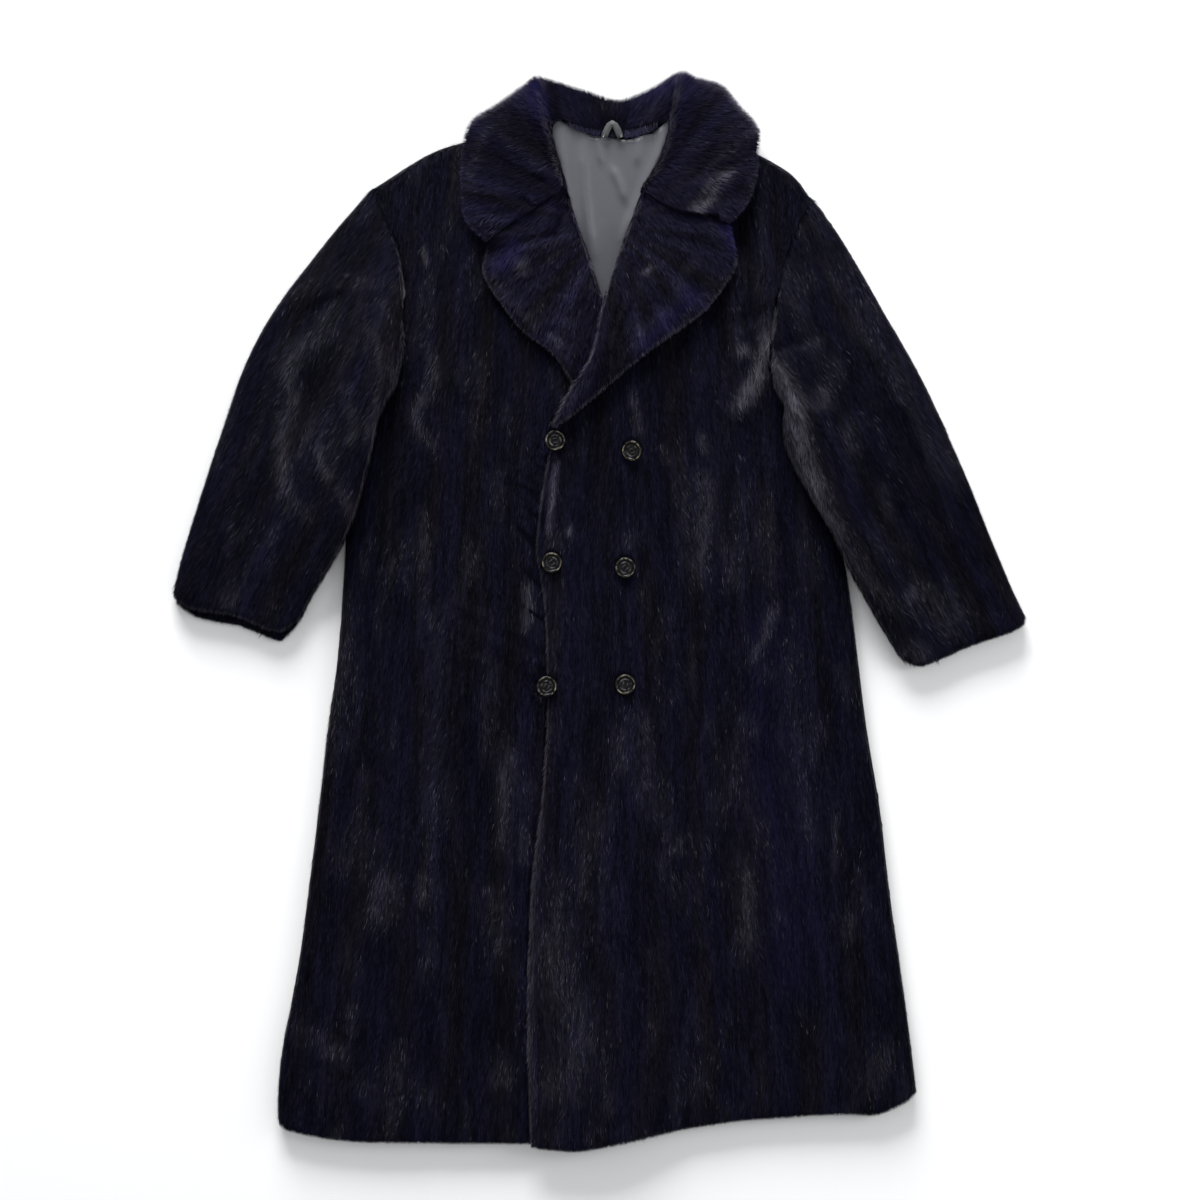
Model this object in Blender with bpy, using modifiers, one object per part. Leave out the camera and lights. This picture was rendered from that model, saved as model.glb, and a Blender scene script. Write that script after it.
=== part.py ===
"""Long double-breasted fur coat, laid flat with its front up.

Sizes are in millimetres. X runs to the viewer's right, Y towards the collar, Z up.
The coat lies on Z = 0. "Right" and "left" are the wearer's sides, so the right front is at -X.
Every garment piece is a closed wall, lofted over its cut outline. Pieces are laid one after
another, and each one rests on the height of those that already lie below it.
"""
import math

import bpy
import numpy as np
from mathutils.bvhtree import BVHTree

MM = 0.001
ORIGIN = (1.0, -2.15)       # centre of the whole outline in the tables' x and y, which becomes the origin

# ---------------------------------------------------------------- driving dimensions, mm
WALL_BODY = 10.0            # leather and pile of back, fronts and sleeves
WALL_COLLAR = 10.5          # collar and lapels, two pelts
WALL_COLLAR_BACK = 7.0      # the collar leaf that the coat lies on
WALL_SATIN = 1.2            # lining
WALL_LOOP = 1.6             # doubled satin strip
EDGE_RADIUS = 11.0          # how far a wall rounds off inside a free edge
EDGE_LEFT = 0.40            # share of the wall that is left at a free edge
SLEEVE_CROWN = 3.5          # how much thicker a sleeve piece is along its middle
LAY_GAP = 0.7               # air between a piece and what it lies on
SEAM_GAP = 0.3              # air between a button and the front
SEAM_ZONE = 9.0             # beside a sewn edge a piece doesn't climb on what is below it
UNDER_RISE = 0.9            # share of the lost wall by which an underside rises towards its edge
WALL_LEAST = 0.35           # the thinnest that a fold may leave a wall, as a share of it

CELL = 4.0                  # cell of the height map
MAP_HALF = (560.0, 690.0)   # the height map reaches this far in x and y
SAMPLES_PER_EDGE = 10       # a triangle is compared with the height map on a lattice this fine
SETTLE_ROUNDS = 150
SETTLE_ERROR = 0.01
CURVE_STEPS = 12            # points on an outline's curve between two of its table's points
CORNER_RADIUS = 75.0        # the plan is evened out this far round an underarm
CORNER_ROUNDS = 8

BUTTON_DIAMETER = 25.0
BUTTON_HEIGHT = 4.6
BUTTON_RIM = 3.4            # width of the raised rim
BUTTON_WELL = 1.5           # depth of the well inside the rim
BUTTON_BEVEL = 0.8          # how far the underside rises towards the rim
BUTTON_HOLE = 2.2           # diameter
BUTTON_HOLE_OFFSET = 2.5    # from the button's axis, along both sides of a square
BUTTON_STEPS = 20           # sides of the turned profile
BUTTON_TURN = 12.0          # degrees that each button is turned past the one before
BUTTON_RINGS = 18           # its underside is compared with the front on this many rings
BUTTON_SPOKES = 72

LOOP_WIDTH = 9.0
LOOP_ARCH = (16.5, 9.5)     # x of the arch's middle, and its radius
LOOP_FOOT = 567.0           # y where the legs leave the neck seam
LOOP_SPRING = 577.0         # y where the arch begins
LOOP_STEPS = 8              # turns of the arch
LOOP_COLUMNS = 4            # points across the strip

ROLL_BULGE_FRONT = 0.24     # how far the collar's roll stands out, as a share of its chord
ROLL_BULGE_BACK = 0.48
ROLL_FRONT_LEVEL = 25.0     # a section whose fall lies above this is in front
LEAF_LEVEL = 9.0            # the collar's back leaf lies below this
LEAF_COLUMN = 6             # the leaf begins at this column of the collar's surface

# Columns and rows of each piece's grid, between its rounded edges
GRID = {
    "back": (13, 17),
    "lining": (6, 8),
    "front_right": (9, 25),
    "front_left": (11, 28),
    "lapel_right": (5, 8),
    "lapel_left": (5, 10),
    "sleeve_under": (6, 14),
    "sleeve_upper": (8, 17),
}

# ---------------------------------------------------------------- outlines, (x, y) in mm
SIDE_RIGHT = [(-271, 509), (-244, 448), (-235, 403), (-233, 358), (-253, 335), (-269, 299), (-284, 247),
              (-296, 187), (-303, 127), (-305, 73), (-313, -47), (-326, -143), (-337, -239), (-349, -335),
              (-362, -431), (-380, -521), (-387, -587), (-385, -616)]
SIDE_LEFT = [(255, 498), (231, 448), (220, 413), (214, 373), (206, 316), (225, 289), (241, 251), (256, 203),
             (273, 145), (287, 97), (299, 47), (311, -47), (323, -143), (339, -239), (350, -335),
             (364, -431), (377, -527), (383, -578)]

BACK_SHOULDERS = [(-271, 509), (-202, 551), (-142, 569), (-63, 589), (-44, 575), (-16, 565), (22, 562),
                  (62, 562), (79, 569), (93, 584), (140, 570), (190, 550), (232, 526), (255, 498)]
BACK_HEM = [(-385, -616), (-317, -637), (-212, -638), (-89, -638), (2, -637), (85, -628), (190, -611),
            (279, -605), (350, -601), (383, -578)]

FRONT_RIGHT_SHOULDER = [(-271, 509), (-202, 551), (-142, 569), (-80, 586)]
FRONT_RIGHT_EDGE = [(-80, 586), (-69, 545), (-52, 503), (-21, 455), (-3, 400), (5, 373), (23, 311),
                    (50, 223), (46, 61), (45, -107), (43, -287), (40, -467), (39, -625)]
FRONT_RIGHT_HEM = [(-385, -616), (-375, -625), (-357, -623), (-317, -637), (-212, -640), (-89, -641),
                   (2, -640), (39, -625)]

FRONT_LEFT_SHOULDER = [(98, 582), (140, 570), (190, 550), (232, 526), (255, 498)]
FRONT_LEFT_EDGE = [(98, 582), (79, 535), (59, 503), (41, 476), (28, 440), (10, 385), (5, 367), (-10, 304),
                   (-31, 272), (-51, 238), (-55, 215), (-64, 169), (-75, 85), (-69, 43), (-64, -8),
                   (-62, -116), (-69, -229), (-80, -319), (-84, -400), (-86, -481), (-83, -602),
                   (-81, -643)]
FRONT_LEFT_HEM = [(-81, -643), (-41, -650), (2, -644), (52, -635), (105, -623), (190, -611), (226, -610),
                  (279, -605), (328, -607), (361, -599), (383, -578)]

LAPEL_RIGHT_GORGE = [(-37, 502), (-64, 489), (-80, 473), (-100, 461), (-122, 448), (-131, 438)]
LAPEL_RIGHT_FREE = [(-131, 438), (-139, 409), (-127, 385), (-110, 361), (-92, 337), (-68, 320), (-51, 306),
                    (-37, 282), (-29, 270)]
LAPEL_RIGHT_ROLL = [(-37, 502), (-21, 455), (-3, 400), (9, 366)]
LAPEL_RIGHT_END = [(-29, 270), (-17, 290), (-1, 322), (9, 366)]

LAPEL_LEFT_GORGE = [(50, 498), (74, 481), (100, 472), (128, 475), (148, 461), (160, 449)]
LAPEL_LEFT_FREE = [(160, 449), (167, 427), (161, 409), (141, 376), (117, 352), (86, 331), (58, 310),
                   (25, 282), (-10, 252), (-40, 228), (-50, 221)]
LAPEL_LEFT_ROLL = [(50, 498), (41, 476), (28, 440), (10, 385), (5, 367), (-10, 304), (-31, 272),
                   (-51, 238), (-56, 225)]
LAPEL_LEFT_END = [(-50, 221), (-56, 225)]

SLEEVE_RIGHT_CAP = [(-272, 509), (-246, 448), (-236, 403), (-234, 358)]
SLEEVE_RIGHT_OUTER = [(-272, 509), (-310, 467), (-356, 409), (-397, 352), (-427, 294), (-447, 236),
                      (-464, 186), (-481, 133), (-494, 91), (-506, 49), (-512, 20)]
SLEEVE_RIGHT_INNER = [(-234, 358), (-231, 319), (-242, 271), (-260, 238), (-269, 198), (-278, 161),
                      (-290, 119), (-308, 77), (-327, 46), (-346, 16), (-358, -8)]
CUFF_RIGHT_UNDER = [(-512, 20), (-502, 0), (-465, -12), (-425, -19), (-404, -29), (-380, -35), (-358, -8)]
CUFF_RIGHT_UPPER = [(-512, 20), (-500, 8), (-481, 2), (-435, -5), (-410, -16), (-386, -24), (-358, -8)]

SLEEVE_LEFT_CAP = [(256, 498), (233, 448), (223, 413), (215.5, 373), (207, 314)]
SLEEVE_LEFT_OUTER = [(256, 498), (285, 460), (316, 409), (346, 356), (374, 308), (400, 258), (424, 205),
                     (446, 155), (467, 101), (485, 58), (501, 20), (514, -6)]
SLEEVE_LEFT_INNER = [(207, 314), (209, 271), (221, 247), (220, 217), (225, 191), (242, 156), (257, 131),
                     (274, 104), (293, 64), (316, 22), (338, -16), (361, -52)]
CUFF_LEFT = [(514, -6), (509, -20), (482, -30), (447, -42), (415, -56), (381, -67), (361, -52)]

LINING_TOP = [(-61, 582), (-31, 569), (5, 564), (31, 562), (68, 562), (88, 571)]
LINING_RIGHT = [(-61, 582), (-56, 505), (-34, 427), (-10, 337)]
LINING_LEFT = [(88, 571), (68, 499), (40, 409), (23, 337)]
LINING_END = [(-10, 337), (23, 337)]

# Collar: one row for each section round the neck, from the right front end over the back to the left.
# seam = lower edge of the stand, stand = its upper end, fall = start of the fall just past the roll,
# mid and edge = middle and free edge of the fall. Each is (x, y, z of the middle of the wall).
COLLAR_ROWS = [
    # seam              stand               fall                mid                 edge
    ((-38, 505, 27),   (-40, 506, 31),     (-53, 501, 38.0),   (-86, 480, 38.5),   (-133, 444, 37.5)),
    ((-44, 532, 24),   (-49, 535, 30),     (-62, 530, 38.0),   (-103, 502, 39.0),  (-158, 468, 37.5)),
    ((-51, 558, 24),   (-57, 562, 30),     (-71, 559, 38.0),   (-112, 535, 39.5),  (-162, 506, 38.0)),
    ((-54, 574, 24),   (-64, 586, 30),     (-79, 585, 38.0),   (-116, 567, 40.0),  (-162, 542, 38.0)),
    ((-53, 583, 24),   (-67, 605, 29),     (-80, 606, 35.5),   (-116, 592, 38.0),  (-158, 568, 36.5)),
    ((-48, 588, 23.5), (-66, 622, 24),     (-82, 624, 22.0),   (-115, 606, 21.0),  (-150, 588, 20.0)),
    ((-40, 587, 23),   (-57, 626, 18),     (-72, 625, 6.0),    (-103, 600, 4.2),   (-134, 573, 4.0)),
    ((-26, 579, 22.5), (-36, 622, 17),     (-42, 622, 3.9),    (-80, 586, 3.9),    (-108, 544, 3.6)),
    ((-2, 573, 22.5),  (-8, 613, 17),      (-10, 613, 3.9),    (-32, 568, 3.9),    (-50, 521, 3.6)),
    ((22, 571, 22.5),  (22, 604, 17),      (22, 604, 3.9),     (22, 560, 3.9),     (22, 513, 3.6)),
    ((46, 572, 22.5),  (50, 612, 17),      (52, 612, 3.9),     (78, 568, 3.9),     (98, 518, 3.6)),
    ((64, 578, 22.5),  (74, 624, 17),      (80, 624, 3.9),     (118, 594, 3.9),    (150, 540, 3.6)),
    ((76, 587, 23),    (88, 631, 18),      (104, 632, 6.0),    (144, 618, 4.2),    (176, 568, 4.0)),
    ((84, 588, 23.5),  (93, 624, 24),      (112, 630, 22.0),   (148, 622, 21.0),   (187, 578, 20.0)),
    ((87, 582, 24),    (92, 604, 29),      (108, 612, 35.5),   (146, 604, 38.0),   (188, 564, 36.5)),
    ((84, 572, 24),    (88, 583, 30),      (104, 585, 38.0),   (142, 572, 40.0),   (188, 545, 38.0)),
    ((76, 551, 24),    (81, 556, 30),      (96, 556, 38.0),    (134, 540, 39.5),   (187, 520, 38.0)),
    ((65, 527, 24),    (69, 530, 30),      (83, 528, 38.0),    (121, 510, 39.0),   (178, 490, 37.5)),
    ((51, 505, 27),    (54, 506, 31),      (68, 504, 38.0),    (107, 487, 38.5),   (160, 469, 37.5)),
]

# Main folds: a soft ridge (height > 0) or trough (height < 0) along a line.
# x0, y0, x1, y1, half width, height
FOLDS_FRONT_RIGHT = [
    (-298, -290, -292, -470, 26, -3.0),
    (-210, -130, -200, -220, 22, -2.5),
    (-165, -150, -190, -290, 24, -3.0),
    (-150, -400, -165, -520, 26, -2.5),
    (-250, -300, -238, -600, 34, 3.5),
    (-112, -170, -120, -300, 26, 2.5),
]
FOLDS_FRONT_LEFT = [
    (211, 320, 176, 250, 20, 4.0),
    (150, 330, 120, 150, 30, -2.5),
    (128, -40, 120, -420, 32, -3.5),
    (170, -110, 172, -190, 24, -2.5),
    (172, -290, 176, -460, 32, 3.5),
    (250, -60, 268, -420, 34, 3.0),
    (20, -480, 6, -640, 40, 2.5),
]
FOLDS_SLEEVE_RIGHT = [
    (-268, 372, -256, 276, 17, 6.5),
    (-284, 354, -284, 318, 15, -4.0),
    (-374, 382, -308, 398, 20, 4.5),
    (-344, 361, -302, 388, 14, -3.5),
    (-330, 335, -372, 300, 20, 4.0),
    (-372, 300, -378, 176, 20, 4.0),
    (-310, 247, -309, 172, 18, -3.5),
    (-336, 200, -322, 165, 15, 3.0),
]
FOLDS_SLEEVE_LEFT = [
    (216, 296, 228, 270, 15, 4.5),
    (234, 244, 322, 72, 20, 5.0),
    (309, 290, 312, 236, 16, -3.5),
    (333, 320, 360, 258, 20, 4.5),
    (360, 258, 422, 97, 20, 4.5),
    (200, 308, 250, 324, 14, -3.0),
]

# Buttons: x, y, tilt towards +X in degrees
BUTTONS = [
    (-52, 204, 4),
    (41, 192, -20),
    (-56, 58, 2),
    (32, 52, 0),
    (-62, -90, 0),
    (32, -88, 3),
]


# ---------------------------------------------------------------- curves and patches
def smooth_line(points, steps=CURVE_STEPS):
    """A Catmull-Rom curve through the points, as a dense polyline."""
    p = np.array(points, float)
    if len(p) < 3:
        return p
    p = np.vstack([2 * p[0] - p[1], p, 2 * p[-1] - p[-2]])
    t = (np.arange(steps) / steps)[:, None]
    spans = []
    for a, b, c, d in zip(p, p[1:], p[2:], p[3:]):
        spans.append(0.5 * (2 * b + (c - a) * t + (2 * a - 5 * b + 4 * c - d) * t ** 2
                            + (3 * b - a - 3 * c + d) * t ** 3))
    return np.vstack(spans + [p[-2:-1]])


def along(line, fractions):
    """Points at fractions of the length of a polyline."""
    lengths = np.concatenate([[0], np.cumsum(np.linalg.norm(np.diff(line, axis=0), axis=1))])
    at = np.asarray(fractions) * lengths[-1]
    return np.stack([np.interp(at, lengths, line[:, k]) for k in range(line.shape[1])], axis=1)


def length_of(line):
    return float(np.linalg.norm(np.diff(line, axis=0), axis=1).sum())


def stations(count, length, rounded_start, rounded_end):
    """Fractions along an edge: even inside, with two extra ones near a rounded end."""
    near = [0.0, 0.22 * EDGE_RADIUS / length, EDGE_RADIUS / length]
    start = near if rounded_start else [0.0]
    end = [1 - n for n in reversed(near)] if rounded_end else [1.0]
    inner = np.linspace(start[-1], end[0], count + 1)[1:-1]
    return np.array(start + list(inner) + end)


def coons(top, bottom, left, right, s, t):
    """Plan points of the patch between four edges. s runs left to right, t top to bottom."""
    top, bottom, left, right = [smooth_line(edge) for edge in (top, bottom, left, right)]
    a, b = along(top, s), along(bottom, s)
    c, d = along(left, t), along(right, t)
    s, t = s[None, :, None], t[:, None, None]
    ruled = (1 - t) * a[None] + t * b[None] + (1 - s) * c[:, None] + s * d[:, None]
    corners = ((1 - s) * (1 - t) * a[0] + s * (1 - t) * a[-1] + (1 - s) * t * b[0] + s * t * b[-1])
    return ruled - corners


def relaxed(plan, corner):
    """Evens out the plan points near a corner whose two edges run on in one line."""
    distance = np.linalg.norm(plan - np.array(corner), axis=-1)[1:-1, 1:-1, None]
    share = np.clip(2 * (1 - distance / CORNER_RADIUS), 0, 1)
    for _ in range(CORNER_ROUNDS):
        around = (plan[:-2, 1:-1] + plan[2:, 1:-1] + plan[1:-1, :-2] + plan[1:-1, 2:]) / 4
        plan[1:-1, 1:-1] += share * (around - plan[1:-1, 1:-1])
    return plan


def fold_height(xy, folds):
    """Height that the folds add at plan points."""
    total = np.zeros(xy.shape[:-1])
    for x0, y0, x1, y1, half_width, height in folds:
        start, run = np.array([x0, y0]), np.array([x1 - x0, y1 - y0])
        share = ((xy - start) @ run) / (run @ run)
        nearest = start + np.clip(share, 0, 1)[..., None] * run
        distance = np.linalg.norm(xy - nearest, axis=-1)
        total += height * np.exp(-(distance / half_width) ** 2)
    return total


# ---------------------------------------------------------------- the height of what lies below
class Pile:
    """Height of all pieces laid so far, on a square grid over the floor."""

    def __init__(self):
        self.origin = -np.array(MAP_HALF)
        self.height = np.zeros([int(2 * half / CELL) for half in MAP_HALF])

    def lay(self, points, triangles):
        """Raises the grid to a piece's upper surface."""
        slack = 0.02
        for a, b, c in points[triangles]:
            corners = np.array([a, b, c])[:, :2]
            low = np.floor((corners.min(0) - self.origin) / CELL).astype(int)
            high = np.ceil((corners.max(0) - self.origin) / CELL).astype(int)
            columns, rows = np.arange(low[0], high[0] + 1), np.arange(low[1], high[1] + 1)
            i, j = np.meshgrid(columns, rows, indexing="ij")
            edges = np.array([corners[1] - corners[0], corners[2] - corners[0]]).T
            if abs(np.linalg.det(edges)) < 1e-6:
                continue
            at = np.stack([i, j], -1) * CELL + self.origin
            w = (at - corners[0]) @ np.linalg.inv(edges).T
            inside = (w[..., 0] >= -slack) & (w[..., 1] >= -slack) & (w.sum(-1) <= 1 + slack)
            z = a[2] + w[..., 0] * (b[2] - a[2]) + w[..., 1] * (c[2] - a[2])
            np.maximum.at(self.height, (i[inside], j[inside]), z[inside])

    def read(self, xy):
        """Height at plan points, as the highest of the nearest cell and its neighbours."""
        rows, columns = self.height.shape
        padded = np.pad(self.height, 1, mode="edge")
        shifted = [padded[i:i + rows, j:j + columns] for i in range(3) for j in range(3)]
        highest = np.max(shifted, axis=0)
        cell = np.rint((xy - self.origin) / CELL).astype(int)
        cell = np.clip(cell, 0, np.array(highest.shape) - 1)
        return highest[cell[..., 0], cell[..., 1]]


def softened(z, shape):
    """Heights half way to the mean of their four neighbours in the grid."""
    grid = z.reshape(shape)
    wide = np.pad(grid, 1, mode="edge")
    around = (wide[:-2, 1:-1] + wide[2:, 1:-1] + wide[1:-1, :-2] + wide[1:-1, 2:]) / 4
    return (0.5 * (grid + around)).reshape(-1)


def settle(pile, plan, triangles, from_seam=None):
    """Lowest heights for the plan points at which the whole surface lies on the pile."""
    split = SAMPLES_PER_EDGE
    lattice = [(a, b, split - a - b) for a in range(split + 1) for b in range(split + 1 - a)]
    weights = np.array(lattice, float) / split
    samples = np.einsum("wk,tkc->twc", weights, plan.reshape(-1, 2)[triangles])
    below = pile.read(samples) + LAY_GAP
    below[below <= LAY_GAP] = 0.0
    if from_seam is not None:
        distance = np.einsum("wk,tk->tw", weights, from_seam.reshape(-1)[triangles])
        below[distance < SEAM_ZONE] = 0.0
    z = np.zeros(plan.shape[0] * plan.shape[1])
    pull = weights / weights.max(1, keepdims=True)
    corner = np.repeat(triangles[:, None], len(lattice), 1)
    for soften in (True, True, False):
        for _ in range(SETTLE_ROUNDS):
            lack = below - np.einsum("wk,tk->tw", weights, z[triangles])
            if lack.max() < SETTLE_ERROR:
                break
            rise = np.maximum(lack, 0)[..., None] * pull[None]
            lifted = z.copy()
            np.maximum.at(lifted, corner, z[triangles][:, None] + rise)
            z = lifted
        if soften:
            z = softened(z, plan.shape[:2])
    return z.reshape(plan.shape[:2])


# ---------------------------------------------------------------- meshes
def grid_triangles(rows, columns):
    i, j = np.meshgrid(np.arange(rows - 1), np.arange(columns - 1), indexing="ij")
    a = (i * columns + j).ravel()
    b, c, d = a + 1, a + columns + 1, a + columns
    return np.concatenate([np.stack([a, d, c], 1), np.stack([a, c, b], 1)])


def closed_wall(name, upper, lower, material, collection):
    """One closed body between two grids of points, joined all round their border."""
    rows, columns = upper.shape[:2]
    up = grid_triangles(rows, columns)
    count = rows * columns
    border = ([i * columns for i in range(rows)]
              + [(rows - 1) * columns + j for j in range(1, columns)]
              + [i * columns + columns - 1 for i in range(rows - 2, -1, -1)]
              + [j for j in range(columns - 2, 0, -1)])
    faces = up.tolist() + (up[:, ::-1] + count).tolist()
    for a, b in zip(border, border[1:] + border[:1]):
        faces += [(a, a + count, b + count), (a, b + count, b)]
    points = (np.concatenate([upper.reshape(-1, 3), lower.reshape(-1, 3)]) - (*ORIGIN, 0)) * MM
    mesh = bpy.data.meshes.new(name)
    mesh.from_pydata(points.tolist(), [], faces)
    mesh.update()
    if signed_volume(points, np.array(faces)) < 0:
        mesh.flip_normals()
    mesh.shade_smooth()
    mesh.set_sharp_from_angle(angle=math.radians(50))
    mesh.materials.append(material)
    piece = bpy.data.objects.new(name, mesh)
    collection.objects.link(piece)
    return piece


def signed_volume(points, faces):
    a, b, c = points[faces[:, 0]], points[faces[:, 1]], points[faces[:, 2]]
    return float(np.einsum("ij,ij->i", a, np.cross(b, c)).sum()) / 6


def rounded(distance):
    """Share of the wall at a distance from a rounded edge: EDGE_LEFT on it and 1 past EDGE_RADIUS."""
    x = np.clip(distance / EDGE_RADIUS, 0, 1)
    return EDGE_LEFT + (1 - EDGE_LEFT) * np.sqrt(1 - (1 - x) ** 2)


def edge_share(plan, edges):
    """Share of the wall at each point for the upper and the lower face, and distance from a seam."""
    distances = {
        "left": np.linalg.norm(plan - plan[:, :1], axis=-1),
        "right": np.linalg.norm(plan - plan[:, -1:], axis=-1),
        "top": np.linalg.norm(plan - plan[:1], axis=-1),
        "bottom": np.linalg.norm(plan - plan[-1:], axis=-1),
    }
    over = np.ones(plan.shape[:2])
    under = np.ones(plan.shape[:2])
    for side, style in edges.items():
        if style == "over":
            over = np.minimum(over, rounded(distances[side]))
        if style == "under":
            under = np.minimum(under, rounded(distances[side]))
    seams = [distances[side] for side, style in edges.items() if style == "seam"]
    from_seam = np.min(seams, axis=0) if seams else None
    return over, under, from_seam


def panel(name, pile, outline, edges, material, collection, wall=WALL_BODY, grid=None, folds=(),
          crown=0.0, flat_corner=None):
    """A garment piece laid on the pile.

    outline: its top, bottom, left and right edges. grid: its row of GRID, if that isn't its name.
    edges: for each side "over" (the upper face rounds down), "under" (the lower face rounds up),
    "seam" (square, against the next piece) or "plain" (square, lying on what is below).
    flat_corner: a corner where two of its edges run on in one line.
    """
    top, bottom, left, right = outline
    columns, rows = GRID[grid or name]
    across = 0.5 * (length_of(smooth_line(top)) + length_of(smooth_line(bottom)))
    down = 0.5 * (length_of(smooth_line(left)) + length_of(smooth_line(right)))
    turned = {side: style in ("over", "under") for side, style in edges.items()}
    s = stations(columns, across, turned["left"], turned["right"])
    t = stations(rows, down, turned["top"], turned["bottom"])
    plan = coons(top, bottom, left, right, s, t)
    if flat_corner:
        plan = relaxed(plan, flat_corner)
    triangles = grid_triangles(*plan.shape[:2])
    over, under, from_seam = edge_share(plan, edges)
    rest = settle(pile, plan, triangles, from_seam)
    middle = np.sin(math.pi * s)[None, :] * np.sqrt(np.sin(math.pi * np.clip(t, 0.02, 0.98)))[:, None]
    lower = rest + wall * (1 - under) * UNDER_RISE
    upper = rest + (wall + crown * middle + fold_height(plan, folds)) * over
    upper = np.maximum(upper, lower + WALL_LEAST * wall)
    upper_face = np.dstack([plan, upper])
    pile.lay(upper_face.reshape(-1, 3), triangles)
    return closed_wall(name, upper_face, np.dstack([plan, lower]), material, collection)


def material_of(name, colour, roughness):
    m = bpy.data.materials.new(name)
    m.use_nodes = True
    shader = m.node_tree.nodes["Principled BSDF"]
    shader.inputs["Base Color"].default_value = (*colour, 1)
    shader.inputs["Roughness"].default_value = roughness
    shader.inputs["Metallic"].default_value = 0.0
    m.diffuse_color = (*colour, 1)
    return m


# ---------------------------------------------------------------- collar
def collar_section(seam, stand, fall, mid, edge):
    """A collar section as a smooth line, with a roll that stands out between stand and fall."""
    turn = fall - stand
    middle = 0.5 * (stand + fall)
    outward = middle - 0.5 * (seam + mid)
    outward -= turn * (outward @ turn) / (turn @ turn)
    bulge = ROLL_BULGE_FRONT if mid[2] > ROLL_FRONT_LEVEL else ROLL_BULGE_BACK
    roll = middle + outward / np.linalg.norm(outward) * bulge * np.linalg.norm(turn)
    line = [seam, stand, roll, fall, 0.5 * (fall + mid), mid, 0.5 * (mid + edge), edge]
    return smooth_line(line, steps=2)


def collar_surface():
    """Middle surface of the collar, with its normals and half its thickness."""
    rows = np.array(COLLAR_ROWS, float)
    round_the_neck = np.stack([smooth_line(rows[:, k], steps=2) for k in range(rows.shape[1])], axis=1)
    surface = np.array([collar_section(*section) for section in round_the_neck])
    normal = np.cross(np.gradient(surface, axis=1), np.gradient(surface, axis=0))
    normal /= np.linalg.norm(normal, axis=-1, keepdims=True)
    in_front = np.clip((surface[..., 2] - 5) / 20, 0, 1)
    half = 0.5 * (WALL_COLLAR_BACK + (WALL_COLLAR - WALL_COLLAR_BACK) * in_front)
    for border in (surface[:, -1:], surface[:, :1]):
        half = half * rounded(np.linalg.norm(surface - border, axis=-1))
    return surface, normal, half


def lay_back_leaf(pile, surface, half):
    """Lays the collar leaf that is under the back on the pile."""
    leaf = surface.copy()
    leaf[..., 2] = np.where(surface[..., 2] < LEAF_LEVEL, surface[..., 2] + half, 0)
    sections = np.where(surface[:, -1, 2] < LEAF_LEVEL)[0]
    part = leaf[sections[0]:sections[-1] + 1, LEAF_COLUMN:]
    pile.lay(part.reshape(-1, 3), grid_triangles(*part.shape[:2]))


def make_collar(pile, surface, normal, half, material, collection):
    outer = surface + normal * half[..., None]
    inner = surface - normal * half[..., None]
    outer[..., 2] = np.maximum(outer[..., 2], 0)
    inner[..., 2] = np.maximum(inner[..., 2], 0)
    for face in (outer, inner):
        pile.lay(face.reshape(-1, 3), grid_triangles(*face.shape[:2]))
    return closed_wall("collar", outer, inner, material, collection)


# ---------------------------------------------------------------- buttons and hanger loop
def hole_cutter(number, x, y, cutters):
    bpy.ops.mesh.primitive_cylinder_add(
        vertices=6, radius=BUTTON_HOLE / 2 * MM, depth=3 * BUTTON_HEIGHT * MM,
        location=(x * MM, y * MM, BUTTON_HEIGHT / 2 * MM))
    hole = bpy.context.object
    hole.name = f"button_hole_{number}"
    for collection in list(hole.users_collection):
        collection.objects.unlink(hole)
    cutters.objects.link(hole)
    hole.hide_render = True
    hole.display_type = "WIRE"
    return hole


def button_mesh(material, cutters):
    """A four-hole button: a turned profile, then four holes."""
    r, h = BUTTON_DIAMETER / 2, BUTTON_HEIGHT
    inner = r - BUTTON_RIM
    well = h - BUTTON_WELL
    profile = [(0, well), (inner - 1.2, well), (inner, h - 0.5), (inner + 1.1, h), (r - 1.0, h - 0.3),
               (r, h - 1.5), (r - 0.8, BUTTON_BEVEL), (r - 3.2, 0), (0, 0)]
    outline = bpy.data.meshes.new("button_profile")
    points = [(x * MM, 0, z * MM) for x, z in profile]
    outline.from_pydata(points, [(i, i + 1) for i in range(len(profile) - 1)], [])
    turned = bpy.data.objects.new("button_turned", outline)
    cutters.objects.link(turned)
    screw = turned.modifiers.new("turn", "SCREW")
    screw.steps = screw.render_steps = BUTTON_STEPS
    screw.use_merge_vertices = True
    screw.merge_threshold = 0.00001
    for number, (x, y) in enumerate([(1, 1), (-1, 1), (-1, -1), (1, -1)], start=1):
        cut = turned.modifiers.new(f"hole_{number}", "BOOLEAN")
        cut.operation = "DIFFERENCE"
        cut.solver = "EXACT"
        cut.object = hole_cutter(number, x * BUTTON_HOLE_OFFSET, y * BUTTON_HOLE_OFFSET, cutters)
    bpy.context.view_layer.update()
    evaluated = turned.evaluated_get(bpy.context.evaluated_depsgraph_get())
    mesh = bpy.data.meshes.new_from_object(evaluated)
    mesh.name = "button"
    mesh.shade_smooth()
    mesh.set_sharp_from_angle(angle=math.radians(40))
    mesh.materials.clear()
    mesh.materials.append(material)
    bpy.data.objects.remove(turned)
    return mesh


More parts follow.
